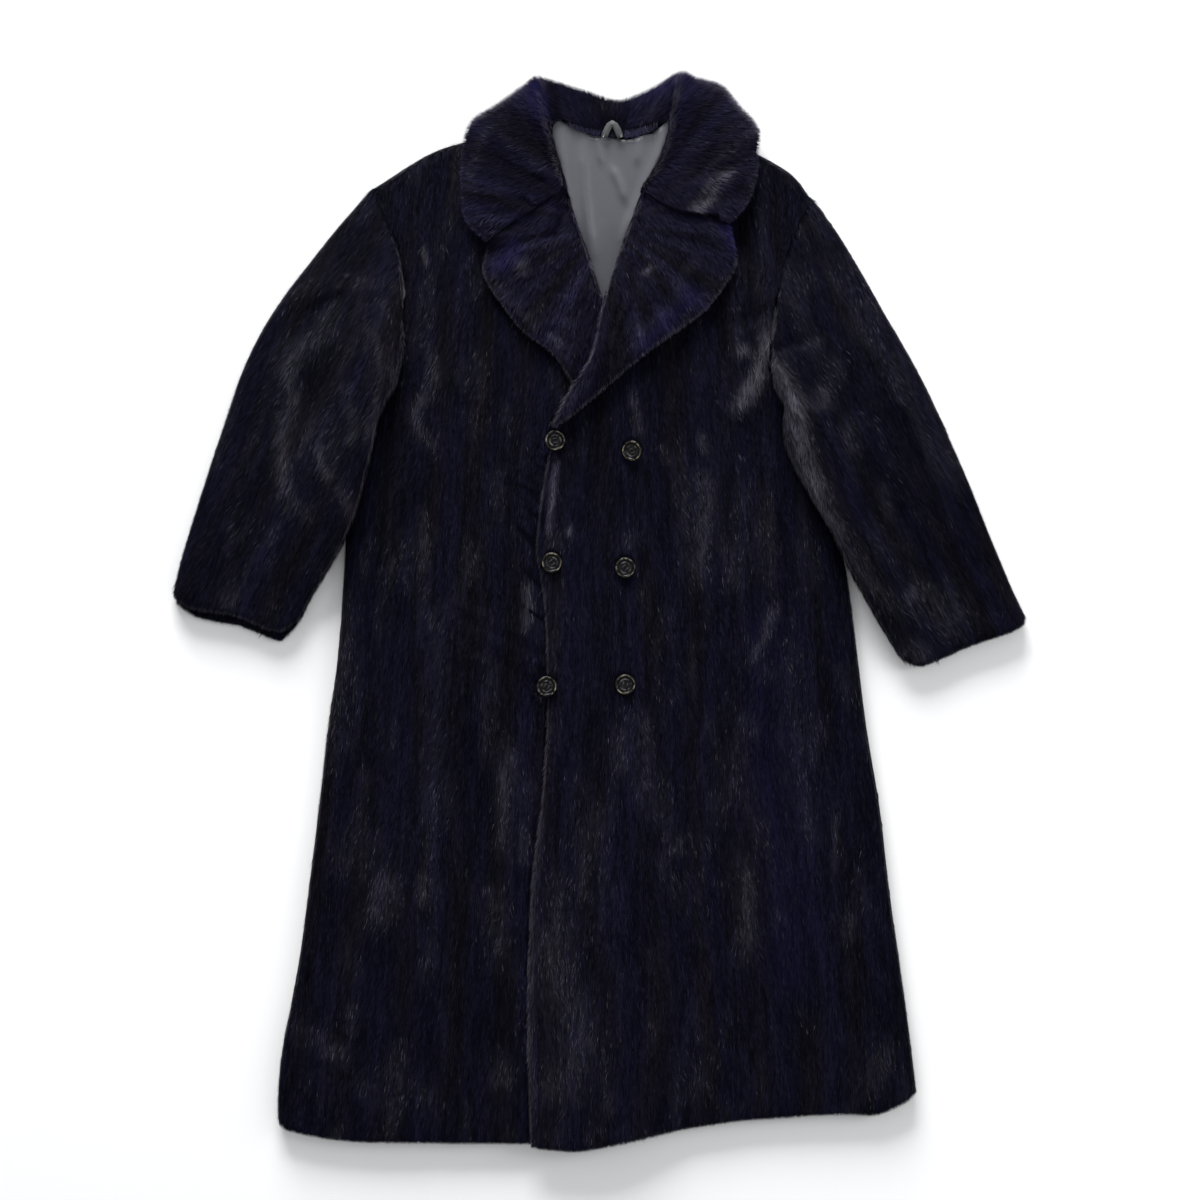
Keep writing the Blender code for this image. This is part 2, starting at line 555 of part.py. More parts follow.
def button_underside():
    """Points of a button's underside: x, y and height, with the bevel towards the rim."""
    rim = BUTTON_DIAMETER / 2 - 0.8
    bevel_start = BUTTON_DIAMETER / 2 - 3.2
    points = []
    for radius in np.linspace(1, rim, BUTTON_RINGS):
        rise = BUTTON_BEVEL * max(0.0, (radius - bevel_start) / (rim - bevel_start))
        for angle in np.linspace(0, 2 * math.pi, BUTTON_SPOKES, endpoint=False):
            points.append((radius * math.cos(angle), radius * math.sin(angle), rise))
    return points


def place_buttons(carrier, mesh, collection):
    """Each button rests on the highest point of the front under its disc."""
    corners = [v.co for v in carrier.data.vertices]
    below = BVHTree.FromPolygons(corners, [p.vertices for p in carrier.data.polygons])
    underside = button_underside()
    for number, (x, y, tilt) in enumerate(BUTTONS, start=1):
        x, y = x - ORIGIN[0], y - ORIGIN[1]
        slope = math.tan(math.radians(tilt))
        lifts = []
        for dx, dy, rise in underside:
            hit = below.ray_cast(((x + dx) * MM, (y + dy) * MM, 1.0), (0, 0, -1))[0]
            if hit:
                lifts.append(hit.z / MM + dx * slope - rise)
        piece = bpy.data.objects.new(f"button_{number}", mesh)
        piece.location = (x * MM, y * MM, (max(lifts) + SEAM_GAP) * MM)
        piece.rotation_euler = (0, math.radians(tilt), math.radians(BUTTON_TURN * number))
        collection.objects.link(piece)


def hanger_loop(pile, material, collection):
    """A flat satin strip in an arch, lying on the collar's stand, from the neck seam and back to it."""
    x, radius = LOOP_ARCH
    centre = [(x - radius, LOOP_FOOT)]
    for step in range(LOOP_STEPS + 1):
        angle = math.pi * (1 - step / LOOP_STEPS)
        centre.append((x + radius * math.cos(angle), LOOP_SPRING + radius * math.sin(angle)))
    centre = np.array(centre + [(x + radius, LOOP_FOOT)])
    run = np.gradient(centre, axis=0)
    side = np.stack([-run[:, 1], run[:, 0]], 1) / np.linalg.norm(run, axis=1)[:, None]
    across = np.linspace(-0.5, 0.5, LOOP_COLUMNS) * LOOP_WIDTH
    plan = centre[:, None] + side[:, None] * across[None, :, None]
    lower = settle(pile, plan, grid_triangles(*plan.shape[:2]))
    upper_face = np.dstack([plan, lower + WALL_LOOP])
    return closed_wall("hanger_loop", upper_face, np.dstack([plan, lower]), material, collection)


# ---------------------------------------------------------------- assembly
def sleeve(side, pile, cap, cuffs, edges, underarm, folds, material, collection):
    """The under and the upper piece of a sleeve, between the same edges and with a cuff line each."""
    panel(f"sleeve_{side}_under", pile, (cap, cuffs[0], *edges),
          dict(left="under", right="under", top="seam", bottom="over"), material, collection,
          grid="sleeve_under", crown=0.5 * SLEEVE_CROWN, flat_corner=underarm)
    panel(f"sleeve_{side}_upper", pile, (cap, cuffs[1], *edges),
          dict(left="over", right="over", top="seam", bottom="over"), material, collection,
          grid="sleeve_upper", crown=SLEEVE_CROWN, flat_corner=underarm, folds=folds)


def main():
    for thing in list(bpy.data.objects):
        bpy.data.objects.remove(thing, do_unlink=True)
    coat = bpy.data.collections.new("fur_coat")
    cutters = bpy.data.collections.new("cutters")
    for collection in (coat, cutters):
        bpy.context.scene.collection.children.link(collection)
    fur = material_of("fur", (0.010, 0.009, 0.017), 0.62)
    fur_collar = material_of("fur_collar", (0.013, 0.012, 0.024), 0.66)
    satin = material_of("satin", (0.23, 0.24, 0.27), 0.36)
    horn = material_of("horn_dark", (0.012, 0.011, 0.013), 0.14)

    pile = Pile()
    surface, normal, half = collar_surface()
    lay_back_leaf(pile, surface, half)

    panel("back", pile, (BACK_SHOULDERS, BACK_HEM, SIDE_RIGHT, SIDE_LEFT),
          dict(left="under", right="under", top="plain", bottom="over"), fur, coat)
    panel("lining", pile, (LINING_TOP, LINING_END, LINING_RIGHT, LINING_LEFT),
          dict(left="plain", right="plain", top="plain", bottom="plain"), satin, coat, wall=WALL_SATIN)
    panel("front_right", pile, (FRONT_RIGHT_SHOULDER, FRONT_RIGHT_HEM, SIDE_RIGHT, FRONT_RIGHT_EDGE),
          dict(left="over", right="plain", top="over", bottom="over"), fur, coat, folds=FOLDS_FRONT_RIGHT)
    panel("lapel_right", pile, (LAPEL_RIGHT_GORGE, LAPEL_RIGHT_END, LAPEL_RIGHT_FREE, LAPEL_RIGHT_ROLL),
          dict(left="over", right="over", top="plain", bottom="over"), fur_collar, coat, wall=WALL_COLLAR)
    front_left = panel(
        "front_left", pile, (FRONT_LEFT_SHOULDER, FRONT_LEFT_HEM, FRONT_LEFT_EDGE, SIDE_LEFT),
        dict(left="over", right="over", top="over", bottom="over"), fur, coat, folds=FOLDS_FRONT_LEFT)
    panel("lapel_left", pile, (LAPEL_LEFT_GORGE, LAPEL_LEFT_END, LAPEL_LEFT_ROLL, LAPEL_LEFT_FREE),
          dict(left="over", right="over", top="plain", bottom="plain"), fur_collar, coat, wall=WALL_COLLAR)

    sleeve("right", pile, SLEEVE_RIGHT_CAP, (CUFF_RIGHT_UNDER, CUFF_RIGHT_UPPER),
           (SLEEVE_RIGHT_OUTER, SLEEVE_RIGHT_INNER), SLEEVE_RIGHT_CAP[-1], FOLDS_SLEEVE_RIGHT, fur, coat)
    sleeve("left", pile, SLEEVE_LEFT_CAP[::-1], (CUFF_LEFT[::-1], CUFF_LEFT[::-1]),
           (SLEEVE_LEFT_INNER, SLEEVE_LEFT_OUTER), SLEEVE_LEFT_CAP[-1], FOLDS_SLEEVE_LEFT, fur, coat)

    make_collar(pile, surface, normal, half, fur_collar, coat)
    place_buttons(front_left, button_mesh(horn, cutters), coat)
    hanger_loop(pile, satin, coat)


main()
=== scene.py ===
"""Looks of a long double-breasted fur coat that lies open-necked on a pale floor, seen from straight above.

Each fur panel is a dark skin with its own hair, both laid on the panel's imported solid. Tables of places are
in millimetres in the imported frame, where the hem points to -Y and the coat rests on z = 0. The wearer's right
side is at -X.
"""

import math

import bmesh
import bpy
import numpy as np
from mathutils import Matrix, Vector
from mathutils.bvhtree import BVHTree


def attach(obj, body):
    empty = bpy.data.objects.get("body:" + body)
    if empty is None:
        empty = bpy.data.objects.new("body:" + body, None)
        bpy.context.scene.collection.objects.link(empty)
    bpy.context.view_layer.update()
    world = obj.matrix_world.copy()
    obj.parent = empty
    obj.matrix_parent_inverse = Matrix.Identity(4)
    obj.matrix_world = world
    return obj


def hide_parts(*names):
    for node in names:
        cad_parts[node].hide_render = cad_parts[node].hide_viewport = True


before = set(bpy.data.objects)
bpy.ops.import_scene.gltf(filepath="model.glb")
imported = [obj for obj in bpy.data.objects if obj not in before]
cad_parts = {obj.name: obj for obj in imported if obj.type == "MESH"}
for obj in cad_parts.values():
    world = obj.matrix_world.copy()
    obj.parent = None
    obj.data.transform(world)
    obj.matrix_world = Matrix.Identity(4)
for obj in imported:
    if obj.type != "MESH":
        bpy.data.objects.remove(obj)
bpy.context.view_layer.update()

MM = 0.001
UP = Vector((0, 0, 1))
DOWN = -UP
SEED = 20

# Camera, mm
VIEW_CENTRE = (0.8, 15.4)  # the point below the camera
VIEW_WIDTH = 1440.0  # of the picture, at the coat
VIEW_LEVEL = 25.0  # height of that width above the floor
LENS = 80.0
SENSOR = 36.0
CLIP_END = 50.0  # m

# Light and floor: place and size in metres, power in watts
KEY_LIGHT = ((-0.9, 6.0, 2.1), (3.6, 2.6), 800)
SIDE_LIGHT = ((3.0, 0.6, 1.8), (0.8, 2.2), 30)
SKY = (0.97, 0.98, 1.0, 1)
SKY_STRENGTH = 0.57
FLOOR_HALF = 12.0

# Panels' surfaces, mm. How upright a surface is, is the upward part of its normal.
WELD = 1e-6  # m
BULGE_MOST = 2.0  # a point between two others bulges out at most this far
COLLAR_BULGE_MOST = 5.0
SMOOTH_ROUNDS = 12  # rounds of evening out the height, where more upright than this
SMOOTH_ABOVE = 0.8
SEAM_REACH = 5.0  # an edge with another panel's edge this near beside it is a seam
GORGE_REACH = 20.0  # between collar and lapels
SEAM_LEVEL = 1.2  # edges of a seam are this many times further beside than above each other
SEAM_CLOSE = (0.12, 2.0)  # or further beside than this and less above than this
SEAM_FACING = 0.5  # and face each other, as a cosine
EDGE_BELOW = 0.93  # what is more upright than this isn't an edge
SEAM_LAP = 0.3  # the edges of a seam go this far past its middle
SEAM_RISE = 1.6  # and this much higher, so that the pile closes over it
SKIN_INSET = 2.6  # the skin lies this far under the panel's surface
SKIN_INSET_SHARE = 0.30  # or this share of a thin wall
WALL_MOST = 20.0
FLOOR_CLEARANCE = 0.3
COVER_REACH = 26.0  # with another surface this near before it, it doesn't show
SKY_REACH = 400.0  # with nothing above it as far as this, it shows
SEEN_ABOVE = -0.2  # what is more upright than this shows from above
SEEN_ASIDE = -0.3  # or than this, from the side
UNDERSIDE = -0.35  # what is less upright is on the coat's underside

# Hair
HAIR_PER_MM2 = 0.80  # on what shows from above
HAIR_PER_MM2_BELOW = 0.03  # on the coat's underside
HAIRS_PER_MESH = 190_000
UNDER_HAIR_SIZE = 3.0  # times as wide, on the underside
BODY_HAIR = (10.0, 0.52, 12.0)  # length, width and least lean in degrees
COLLAR_HAIR = (8.5, 0.50, 18.0)
HAIR_LENGTHS = (0.75, 0.5)  # shares of them, the least and what chance adds
HAIR_WIDTHS = (0.7, 0.6)
LEAN_SPREAD = 9.0  # what chance adds to the lean
LIT_LEAN = 8  # and what catching the light adds
LOCK_TURN = 0.10  # radians, the range of a lock's turn and of a hair's by itself
HAIR_TURN = 0.16
RIM_TURN = 0.5  # and more on a rim
ROLL = 0.9  # about the hair's own line
OUTWARD_SHORTER = 0.45  # for hair that points straight out
FRINGE = (1.2, 2.4)  # hair ends this far outside the panel
COLLAR_FRINGE = (3.0, 4.6)
SEAM_FRINGE = 8.0  # over a panel that it is sewn to
SEAM_BELOW = 9.0  # at most, if that panel is this near below
HAIR_LEAST = 0.25  # no hair is cut to less than this share

# The nap of back and fronts runs down from a point above the neck and spreads towards the hem.
NAP_APEX = (0.0, 2970.0)
SLEEVE_AXIS = {"right": (-0.391, -0.920), "left": (0.406, -0.914)}
COLLAR_CENTRE = (12.0, 470.0)
COLLAR_NAP_RISE = 60.0  # the collar's nap runs outwards from this far above its centre
COLLAR_NAP_DROP = (0, -0.45, 0)
COLLAR_ARC = 150.0  # places across it are measured on an arc of this radius
NECK_SEAM = (15.0, 579.5, 0.004)  # the stand's pile hangs down below y = b + c * (x - a) ** 2
STAND_HALF = 56.0  # this far to each side of a
STAND_LOWEST = 555.0

# Patterns over the pile: a cell's size across and along the nap, mm, and the number that picks the pattern
LOCKS = (4.0, 14.0, 1.0)
WANDER = (60, 90, 4.0)
WANDER_TURN = 0.4
RUFFLES = (12, 20, 9.0)
RUFFLE_TURN = 1.2
SHEEN_PATCH_CELLS = ((26, 70, 12.0), (11, 33, 13.0))
LIT_STREAKS = ((1.3, 12, 10.0), (5, 22, 11.0))
PELT_WANDER = (45, 160, 5.0)
BROWN_PATCHES = (30, 110, 6.0)
TONE_STREAKS = ((2.6, 24, 8.0), (9, 70, 3.0))
PELTS = 7.0
SWELL_PATTERNS = (21.0, 22.0)

# Colours. A pair of numbers is the least share and what chance or a pattern adds.
PELT_WIDTH = 52.0  # pelts are strips sewn side by side along the nap
PELT_BEND = 0.5
NAVY = (0.0040, 0.0040, 0.0120)
BROWN_BLACK = (0.0045, 0.0038, 0.0062)
BROWN_MOST = 0.75
BROWN_SHARES = (0.2, 1.2)
COLLAR_NAVY = (0.0090, 0.0080, 0.0235)
PELT_TONES = (0.82, 0.36)
FINE_TONES = (0.55, 0.9)
COARSE_TONES = (0.7, 0.6)
HAIR_TONES = (0.45, 1.1)
HAIR_ENDS_ROOT_SHADED = (0.6, 0.6, 1.3)  # painted shade: a hair is darker at its root's two corners than at its tip
BLUE = (0.0150, 0.0130, 0.0900)  # of a few spots
BLUE_TONES = (0.3, 0.7)
LIT = (0.085, 0.080, 0.095)  # painted highlight: hair across the nap that catches the light
LIT_WIDTH = 1.1  # its places are this many times as wide as the partings' table says
LIT_POWER = 1.4  # and their strength is taken to this power
LIT_TONES = (0.4, 0.6)
LIT_COARSE = (0.4, 1.2)
LIT_STREAKED = (0.15, 0.95)
SPARK_SHARE = 0.16  # of the lit hairs, whatever their streak
PAINTED_SHEEN = 0.16  # painted sheen in faint paler patches all over the pile
SHEEN_PATCH_STARTS = 0.80
SHEEN_PATCH_GROWS = 0.5
GLINT_SHARE = 0.05  # painted glints, on this share of all hairs
GLINTS = (0.10, 0.12)
PAINTED_RIM_SHEEN = (0.230, 0.210, 0.250)  # painted rim sheen: paler hair along free edges
RIM_TONES = (0.3, 0.7)
RIM_SHARE = 0.50
BODY_RIM = 0.5  # the rim is fainter off the collar
RIM_STARTS = 0.88  # it begins where the pile is less upright than this
RIM_GROWS = 0.5  # and is full this much further down
RIM_GAP = 7.0  # and only where the next panel is further than this
UNDER_WOOL = ((0.0016, 0.0016, 0.0036), (0.0050, 0.0048, 0.0105))
SATIN = ((0.070, 0.073, 0.084), (0.095, 0.099, 0.114))
RIBBON_SATIN = ((0.020, 0.021, 0.023), (0.052, 0.054, 0.056))
THREAD = ((0.012, 0.012, 0.016), (0.035, 0.034, 0.042))
FLOOR = ((0.90, 0.90, 0.90), (0.93, 0.93, 0.93))

# Buttons, in the button's own millimetres: its turned profile, and tilt towards +X with a turn about z
BUTTON_RADIUS = 12.5
BUTTON_CLEAR = 0.2  # no hair is nearer than this
BUTTON_SIDES = 48
BUTTON_PROFILE = [
    (0, 3.05), (3.8, 3.05), (5.4, 3.2), (6.6, 3.45), (7.3, 3.3), (7.8, 2.95), (8.5, 3.0), (8.9, 3.5),
    (9.4, 4.1), (10.1, 4.5), (10.9, 4.6), (11.6, 4.45), (12.2, 4.0), (12.5, 3.2), (12.4, 1.9), (11.7, 0.8),
    (9.3, 0), (0, 0)]
SHARP = 40.0  # degrees
HORN = (0.007, 0.007, 0.008)
HORN_RIM_HIGHLIGHT = (0.36, 0.32, 0.22)  # painted highlight on the crest of the rim
# painted highlight on the ring's crest
HORN_RING_HIGHLIGHT = (0.17, 0.17, 0.18)
RIM_CREST = (10.9, 4)  # radius of that crest, and the height that it is above
RING_CREST = (6.6, 3)
CREST_HALF = 0.3
HOLE_OFFSET = 2.5
HOLE_RADIUS = 1.1
HOLE_SIDES = 14
HOLE_RUN = (-2, 8)  # the holes are cut from and to these heights
THREAD_RADIUS = 0.42
BUTTON_TILTS = (4, -20, 2, 0, 0, 3)
BUTTON_TURN = 12.0

# Hanger loop: the middle line of its ribbon, and the folded section as width and height
LOOP_LINE = [
    (5.6, 569.9), (7.4, 575), (9.8, 580.5), (12.4, 585.2), (15.5, 587.8), (18.6, 585.2), (21.2, 580.5),
    (23.6, 575), (25.4, 569.9)]
LOOP_SECTION = [
    (-4.2, 0.1), (-4.4, 0.7), (-3.6, 1.2), (-1.2, 1.1), (-0.4, 1.7), (2.6, 1.5), (4.2, 0.9), (4.3, 0.2)]
LOOP_WIDTHS = ((0, 0.3, 0.5, 0.7, 1), (0.9, 0.95, 0.72, 0.95, 0.9))  # places along it, and the width's share
LOOP_DEEP = 1.2  # the line runs this far under the solid's top
STITCH_STEP = 2.4
STITCH_RISE = 1.6
STITCH_HALF = 1.1
STITCH_RADIUS = 0.28

# The lining's top edge is drawn up under the collar's stand, mm
LINING_ROUNDS = 20
LINING_RISE = (545, 24, 7.0)  # from this y over this length, and by this much
LINING_RIPPLE = (1.2, 6.5)  # height, and length as of a sine
LINING_DIP = (0.0024, 12)  # more to each side of this x, by this curve
LINING_PULL = (6.0, 62, 13)  # and more at one place: how much, its x and its half width

# Each panel: how often its solid is cut finer, its flat width and length in m, its area in m2, and what it
# lies on
PANELS = {
    "back": (1, (0.80, 1.24), 0.742, ()),
    "front_right": (2, (0.47, 1.24), 0.424, ("back",)),
    "front_left": (2, (0.48, 1.24), 0.424, ("back", "front_right")),
    "sleeve_right_under": (1, (0.26, 0.58), 0.089, ()),
    "sleeve_right_upper": (2, (0.26, 0.58), 0.0875, ("sleeve_right_under",)),
    "sleeve_left_under": (1, (0.26, 0.60), 0.091, ()),
    "sleeve_left_upper": (2, (0.26, 0.60), 0.0915, ("sleeve_left_under",)),
    "lapel_right": (2, (0.16, 0.25), 0.0214, ("front_right",)),
    "lapel_left": (2, (0.18, 0.32), 0.0270, ("front_left",)),
    "collar": (2, (0.24, 0.56), 0.0765, ("back",)),
}

# What each panel is sewn to
SEWN = {
    "back": ("front_right", "front_left", "collar", "sleeve_right_under", "sleeve_left_under"),
    "front_right": ("back", "sleeve_right_upper"),
    "front_left": ("back", "sleeve_left_upper"),
    "sleeve_right_under": ("back", "sleeve_right_upper"),
    "sleeve_right_upper": ("front_right", "sleeve_right_under"),
    "sleeve_left_under": ("back", "sleeve_left_upper"),
    "sleeve_left_upper": ("front_left", "sleeve_left_under"),
    "lapel_right": ("collar",),
    "lapel_left": ("collar",),
    "collar": ("lapel_right", "lapel_left"),
}

# Soft troughs and ridges: half width, height (a trough is negative) and the line's points
FOLDS = {}
FOLDS["sleeve_right_upper"] = [
    (9, -3.5, (-273, 378), (-242, 361), (-234, 319), (-245, 267)),
    (7, -2.5, (-285, 354), (-285, 312)),
    (8, 3, (-267, 347), (-258, 313), (-255, 278)),
    (12, 3, (-376, 378), (-356, 391), (-306, 407)),
    (9, -3, (-345, 363), (-323, 377), (-303, 387)),
    (13, 4, (-329, 336), (-376, 302), (-368, 264), (-375, 218), (-378, 179), (-374, 145), (-356, 126)),
    (8, 2.5, (-338, 206), (-332, 175), (-320, 163)),
    (8, -2.5, (-310, 249), (-310, 175)),
    (9, 2, (-441, 39), (-444, 21), (-448, 3)),
    (10, -2.5, (-405, 255), (-419, 171), (-428, 87)),
    (11, -2, (-333, 111), (-359, 63), (-371, 15)),
]
FOLDS["front_left"] = [
    (12, 3.5, (210, 339), (195, 299), (175, 253), (154, 253)),
    (9, -3, (154, 347), (181, 359), (210, 369)),
    (8, 2, (175, 327), (174, 308)),
    (9, -2.5, (223, 255), (229, 159), (232, 63)),
    (13, -2.5, (127, -33), (130, -177), (135, -417)),
    (10, -2, (169, -105), (170, -177)),
    (14, 2.5, (169, -297), (171, -381), (174, -453)),
    (14, -2.2, (61, -9), (67, -177), (73, -345)),
    (13, 2, (27, -177), (22, -321), (15, -465)),
    (13, -2.2, (-29, -201), (-33, -345), (-38, -513)),
    (16, -2.5, (241, -105), (267, -297), (289, -477)),
    (8, 2.5, (-52, 183), (-57, 147), (-59, 111)),
    (9, -2, (1, 159), (-2, 87), (1, 15)),
]
FOLDS["front_right"] = [
    (14, -3, (-299, -285), (-305, -369), (-311, -465)),
    (10, -2.5, (-209, -129), (-206, -171), (-209, -213)),
    (10, -2.5, (-161, -153), (-173, -219), (-191, -285)),
    (12, -2.5, (-149, -405), (-158, -459), (-167, -513)),
    (13, 3, (-263, -309), (-258, -339), (-263, -369)),
    (10, 2.5, (-209, -303), (-210, -339)),
    (12, 2.5, (-119, -177), (-119, -237), (-123, -297)),
    (12, 2, (-335, -525), (-317, -532), (-299, -537)),
    (11, -2, (-215, 231), (-203, 135), (-201, 15)),
    (12, 2, (-155, 63), (-150, -33), (-148, -105)),
    (12, -2, (-95, -33), (-90, -129), (-86, -225)),
    (10, 2, (-119, 207), (-116, 135), (-119, 63)),
]
FOLDS["sleeve_left_upper"] = [
    (10, -3.5, (204, 312), (230, 327), (255, 327)),
    (9, 3, (202, 299), (216, 288), (226, 275)),
    (12, 4, (231, 265), (248, 207), (277, 141), (304, 102), (331, 63)),
    (8, -2.5, (308, 293), (310, 267), (310, 239)),
    (15, 4, (332, 323), (358, 260), (386, 207), (421, 99)),
    (12, -2.5, (301, 207), (337, 123), (373, 39)),
    (10, -2, (397, 255), (427, 171), (451, 99)),
    (10, 2, (367, 15), (397, 27), (427, 25)),
]
FOLDS["lining"] = [
    (6, 3.4, (-20, 560), (-16, 500), (-8, 432)),
    (5, 3, (15, 535), (24, 515), (31, 495)),
    (7, 3.8, (78, 566), (55, 510), (30, 450)),
    (5, 2.6, (-44, 560), (-42, 520), (-30, 470)),
    (4, 2.4, (48, 572), (44, 540)),
    (4, 2.2, (-2, 566), (2, 540)),
]
FOLDS["lapel_right"] = [
    (6, -2.5, (-72, 444), (-52, 460), (-39, 490)),
    (7, 2.2, (-86, 433), (-64, 450), (-52, 474)),
    (8, 2, (-95, 421), (-90, 413), (-87, 405)),
    (7, -2, (-39, 470), (-46, 462), (-63, 455)),
    (8, -1.8, (-62, 345), (-52, 337), (-40, 327)),
]
FOLDS["lapel_left"] = [
    (12, 2, (121, 435), (97, 375), (61, 327)),
    (9, -1.8, (49, 435), (37, 375), (15, 315)),
]
FOLDS["collar"] = [
    (6, -2.5, (-98, 497), (-70, 490), (-57, 487)),
    (6, -2, (120, 485), (140, 519), (163, 543)),
    (7, 1.5, (109, 500), (128, 531), (147, 555)),
    (7, -2, (-114, 540), (-83, 522), (-56, 516)),
    (7, -1.6, (-149, 489), (-119, 479), (-95, 479)),
]
FOLD_ENDS = (4, 0.35)          # how fast a fold grows from its ends, and its share there
COLLAR_FOLDS = 1.6             # times as high, on collar and lapels

# The collar's outline, rounded out: middle of the place, its radius and the way it moves, mm
NUDGES = {"collar": [((-88, 636), 34, (-2, 6)), ((120, 642), 38, (2, 7)), ((182, 580), 34, (3, 1))]}

# Soft unevenness of the pile: height, and the size of a swell across and along the nap
SWELLS = {"collar": (2.2, 17, 30), "lapel_right": (2.2, 16, 28), "lapel_left": (1.8, 18, 30)}
BODY_SWELLS = (1.6, 22, 75)
FINE_SWELLS = 2.1              # finer swells, half as high, are this many times shorter

# Where the pile is parted or ruffled and catches the light, which is also painted on as a highlight: half
# width, strength and the line's points
PARTINGS_AND_HIGHLIGHTS = {}
PARTINGS_AND_HIGHLIGHTS["sleeve_right_upper"] = [
    (10, 0.28, (-376, 375), (-347, 390), (-305, 402), (-263, 397)),
    (11, 0.6, (-323, 345), (-359, 315), (-374, 289), (-368, 261), (-376, 219), (-378, 171), (-371, 135),
     (-353, 121)),
    (7, 0.6, (-338, 207), (-329, 177), (-320, 162)),
    (8, 0.35, (-305, 279), (-299, 255), (-290, 219)),
    (7, 0.45, (-299, 207), (-287, 219), (-273, 231)),
    (6, 0.5, (-267, 345), (-260, 315), (-256, 279), (-266, 243), (-275, 207)),
    (8, 0.4, (-311, 159), (-299, 135), (-285, 111)),
    (11, 0.45, (-446, 27), (-441, 13)),
    (5, 0.3, (-479, 6), (-431, -9), (-383, -21)),
    (5, 0.4, (-263, 378), (-242, 369)),
    (8, 0.22, (-419, 339), (-443, 255), (-461, 171)),
]
PARTINGS_AND_HIGHLIGHTS["front_right"] = [
    (7, 0.5, (-203, 327), (-197, 291), (-206, 267), (-221, 249), (-215, 219), (-201, 207)),
    (6, 0.3, (-149, 321), (-141, 303)),
    (6, 0.42, (-212, 129), (-209, 87), (-213, 51)),
    (5, 0.3, (-245, 75), (-251, 39)),
    (11, 0.28, (-305, 15), (-308, -57), (-317, -105), (-321, -177)),
    (18, 0.5, (-263, -309), (-257, -345), (-273, -363)),
    (7, 0.5, (-209, -309), (-213, -345)),
    (10, 0.38, (-107, -153), (-113, -213), (-119, -285)),
    (7, 0.35, (-93, -249), (-89, -297)),
    (16, 0.3, (-125, -321), (-122, -381), (-119, -417)),
    (6, 0.38, (-299, -465), (-293, -501)),
    (14, 0.32, (-347, -501), (-317, -525), (-305, -531)),
    (13, 0.26, (-209, -567), (-206, -585)),
    (13, 0.32, (-119, -531), (-113, -567)),
    (6, 0.75, (-87, 39), (-84, 15), (-87, -11)),
    (7, 0.26, (-113, 255), (-107, 219)),
    (4, 0.7, (-210, 445), (-207, 421)),
    (12, 0.2, (-191, 15), (-196, -129), (-203, -225)),
]
PARTINGS_AND_HIGHLIGHTS["front_left"] = [
    (4, 0.85, (-52, 189), (-57, 135), (-59, 99)),
    (5, 0.48, (-64, -105), (-70, -201), (-74, -285), (-81, -345), (-82, -417), (-83, -513), (-80, -621)),
    (9, 1.25, (207, 345), (202, 325), (190, 291), (175, 261), (166, 249)),
    (7, 1, (166, 324), (176, 315)),
    (5, 0.48, (39, 270), (44, 243), (46, 217)),
    (5, 0.45, (121, 219), (127, 195)),
    (12, 0.42, (121, 171), (127, 147), (121, 87), (115, 39)),
    (6, 0.3, (73, 207), (85, 183)),
    (6, 0.52, (211, 15), (199, -21), (181, -57)),
    (10, 0.36, (25, -129), (27, -189)),
    (13, 0.26, (7, -213), (-11, -285), (-29, -345)),
    (24, 0.36, (-47, -321), (-53, -417), (-33, -465), (-21, -513), (-41, -561), (-65, -573)),
    (11, 0.42, (175, -297), (178, -345), (175, -405)),
    (7, 0.3, (103, -261), (91, -285)),
    (4, 0.32, (283, -225), (283, -309)),
    (10, 0.3, (301, -351), (295, -387)),
    (12, 0.36, (349, -513), (337, -537), (325, -573)),
    (14, 0.26, (118, -543), (123, -561)),
    (7, 0.3, (7, -525), (10, -597)),
    (4, 0.75, (-36, 107), (-34, 95)),
    (8, 0.28, (34, 102), (39, 81)),
    (10, 0.24, (229, -33), (241, -177), (255, -285)),
]
PARTINGS_AND_HIGHLIGHTS["sleeve_left_upper"] = [
    (10, 1.1, (201, 304), (212, 288), (229, 262), (238, 211), (245, 178), (259, 150), (268, 122), (289, 90)),
    (13, 0.45, (289, 90), (317, 52), (338, 24), (355, 5)),
    (10, 0.5, (247, 255), (265, 255), (267, 279)),
    (10, 0.3, (265, 261), (283, 291), (283, 315)),
    (10, 0.35, (295, 231), (301, 195)),
    (10, 0.26, (313, 351), (337, 315)),
    (22, 0.42, (361, 27), (397, 15), (433, -9)),
    (12, 0.46, (367, -33), (391, -51)),
    (8, 0.26, (337, 159), (349, 111)),
    (6, 0.4, (241, 330), (265, 332)),
]
PARTINGS_AND_HIGHLIGHTS["collar"] = [
    (7, 1.6, (109, 477), (124, 495), (135, 517), (151, 529)),
    (14, 0.45, (1, 601), (25, 613)),
    (7, 0.3, (-155, 507), (-143, 555), (-119, 591)),
    (6, 0.4, (-129, 457), (-113, 462)),
    (7, 0.28, (181, 543), (183, 495), (171, 471)),
]
PARTINGS_AND_HIGHLIGHTS["lapel_right"] = [
    (8, 0.55, (-96, 428), (-87, 404)),
    (10, 0.42, (-56, 342), (-47, 320)),
    (6, 0.5, (-122, 455), (-100, 464)),
    (6, 0.35, (-129, 411), (-107, 375), (-71, 345)),
]
PARTINGS_AND_HIGHLIGHTS["lapel_left"] = [
    (4, 0.9, (52, 409), (63, 417)),
    (5, 0.4, (44, 349), (51, 335)),
    (6, 0.3, (145, 405), (109, 363), (61, 315), (13, 273)),
    (5, 0.5, (-47, 255), (-52, 241)),
]
PARTING_ENDS = (5, 0.4)        # the same for a parting's strength

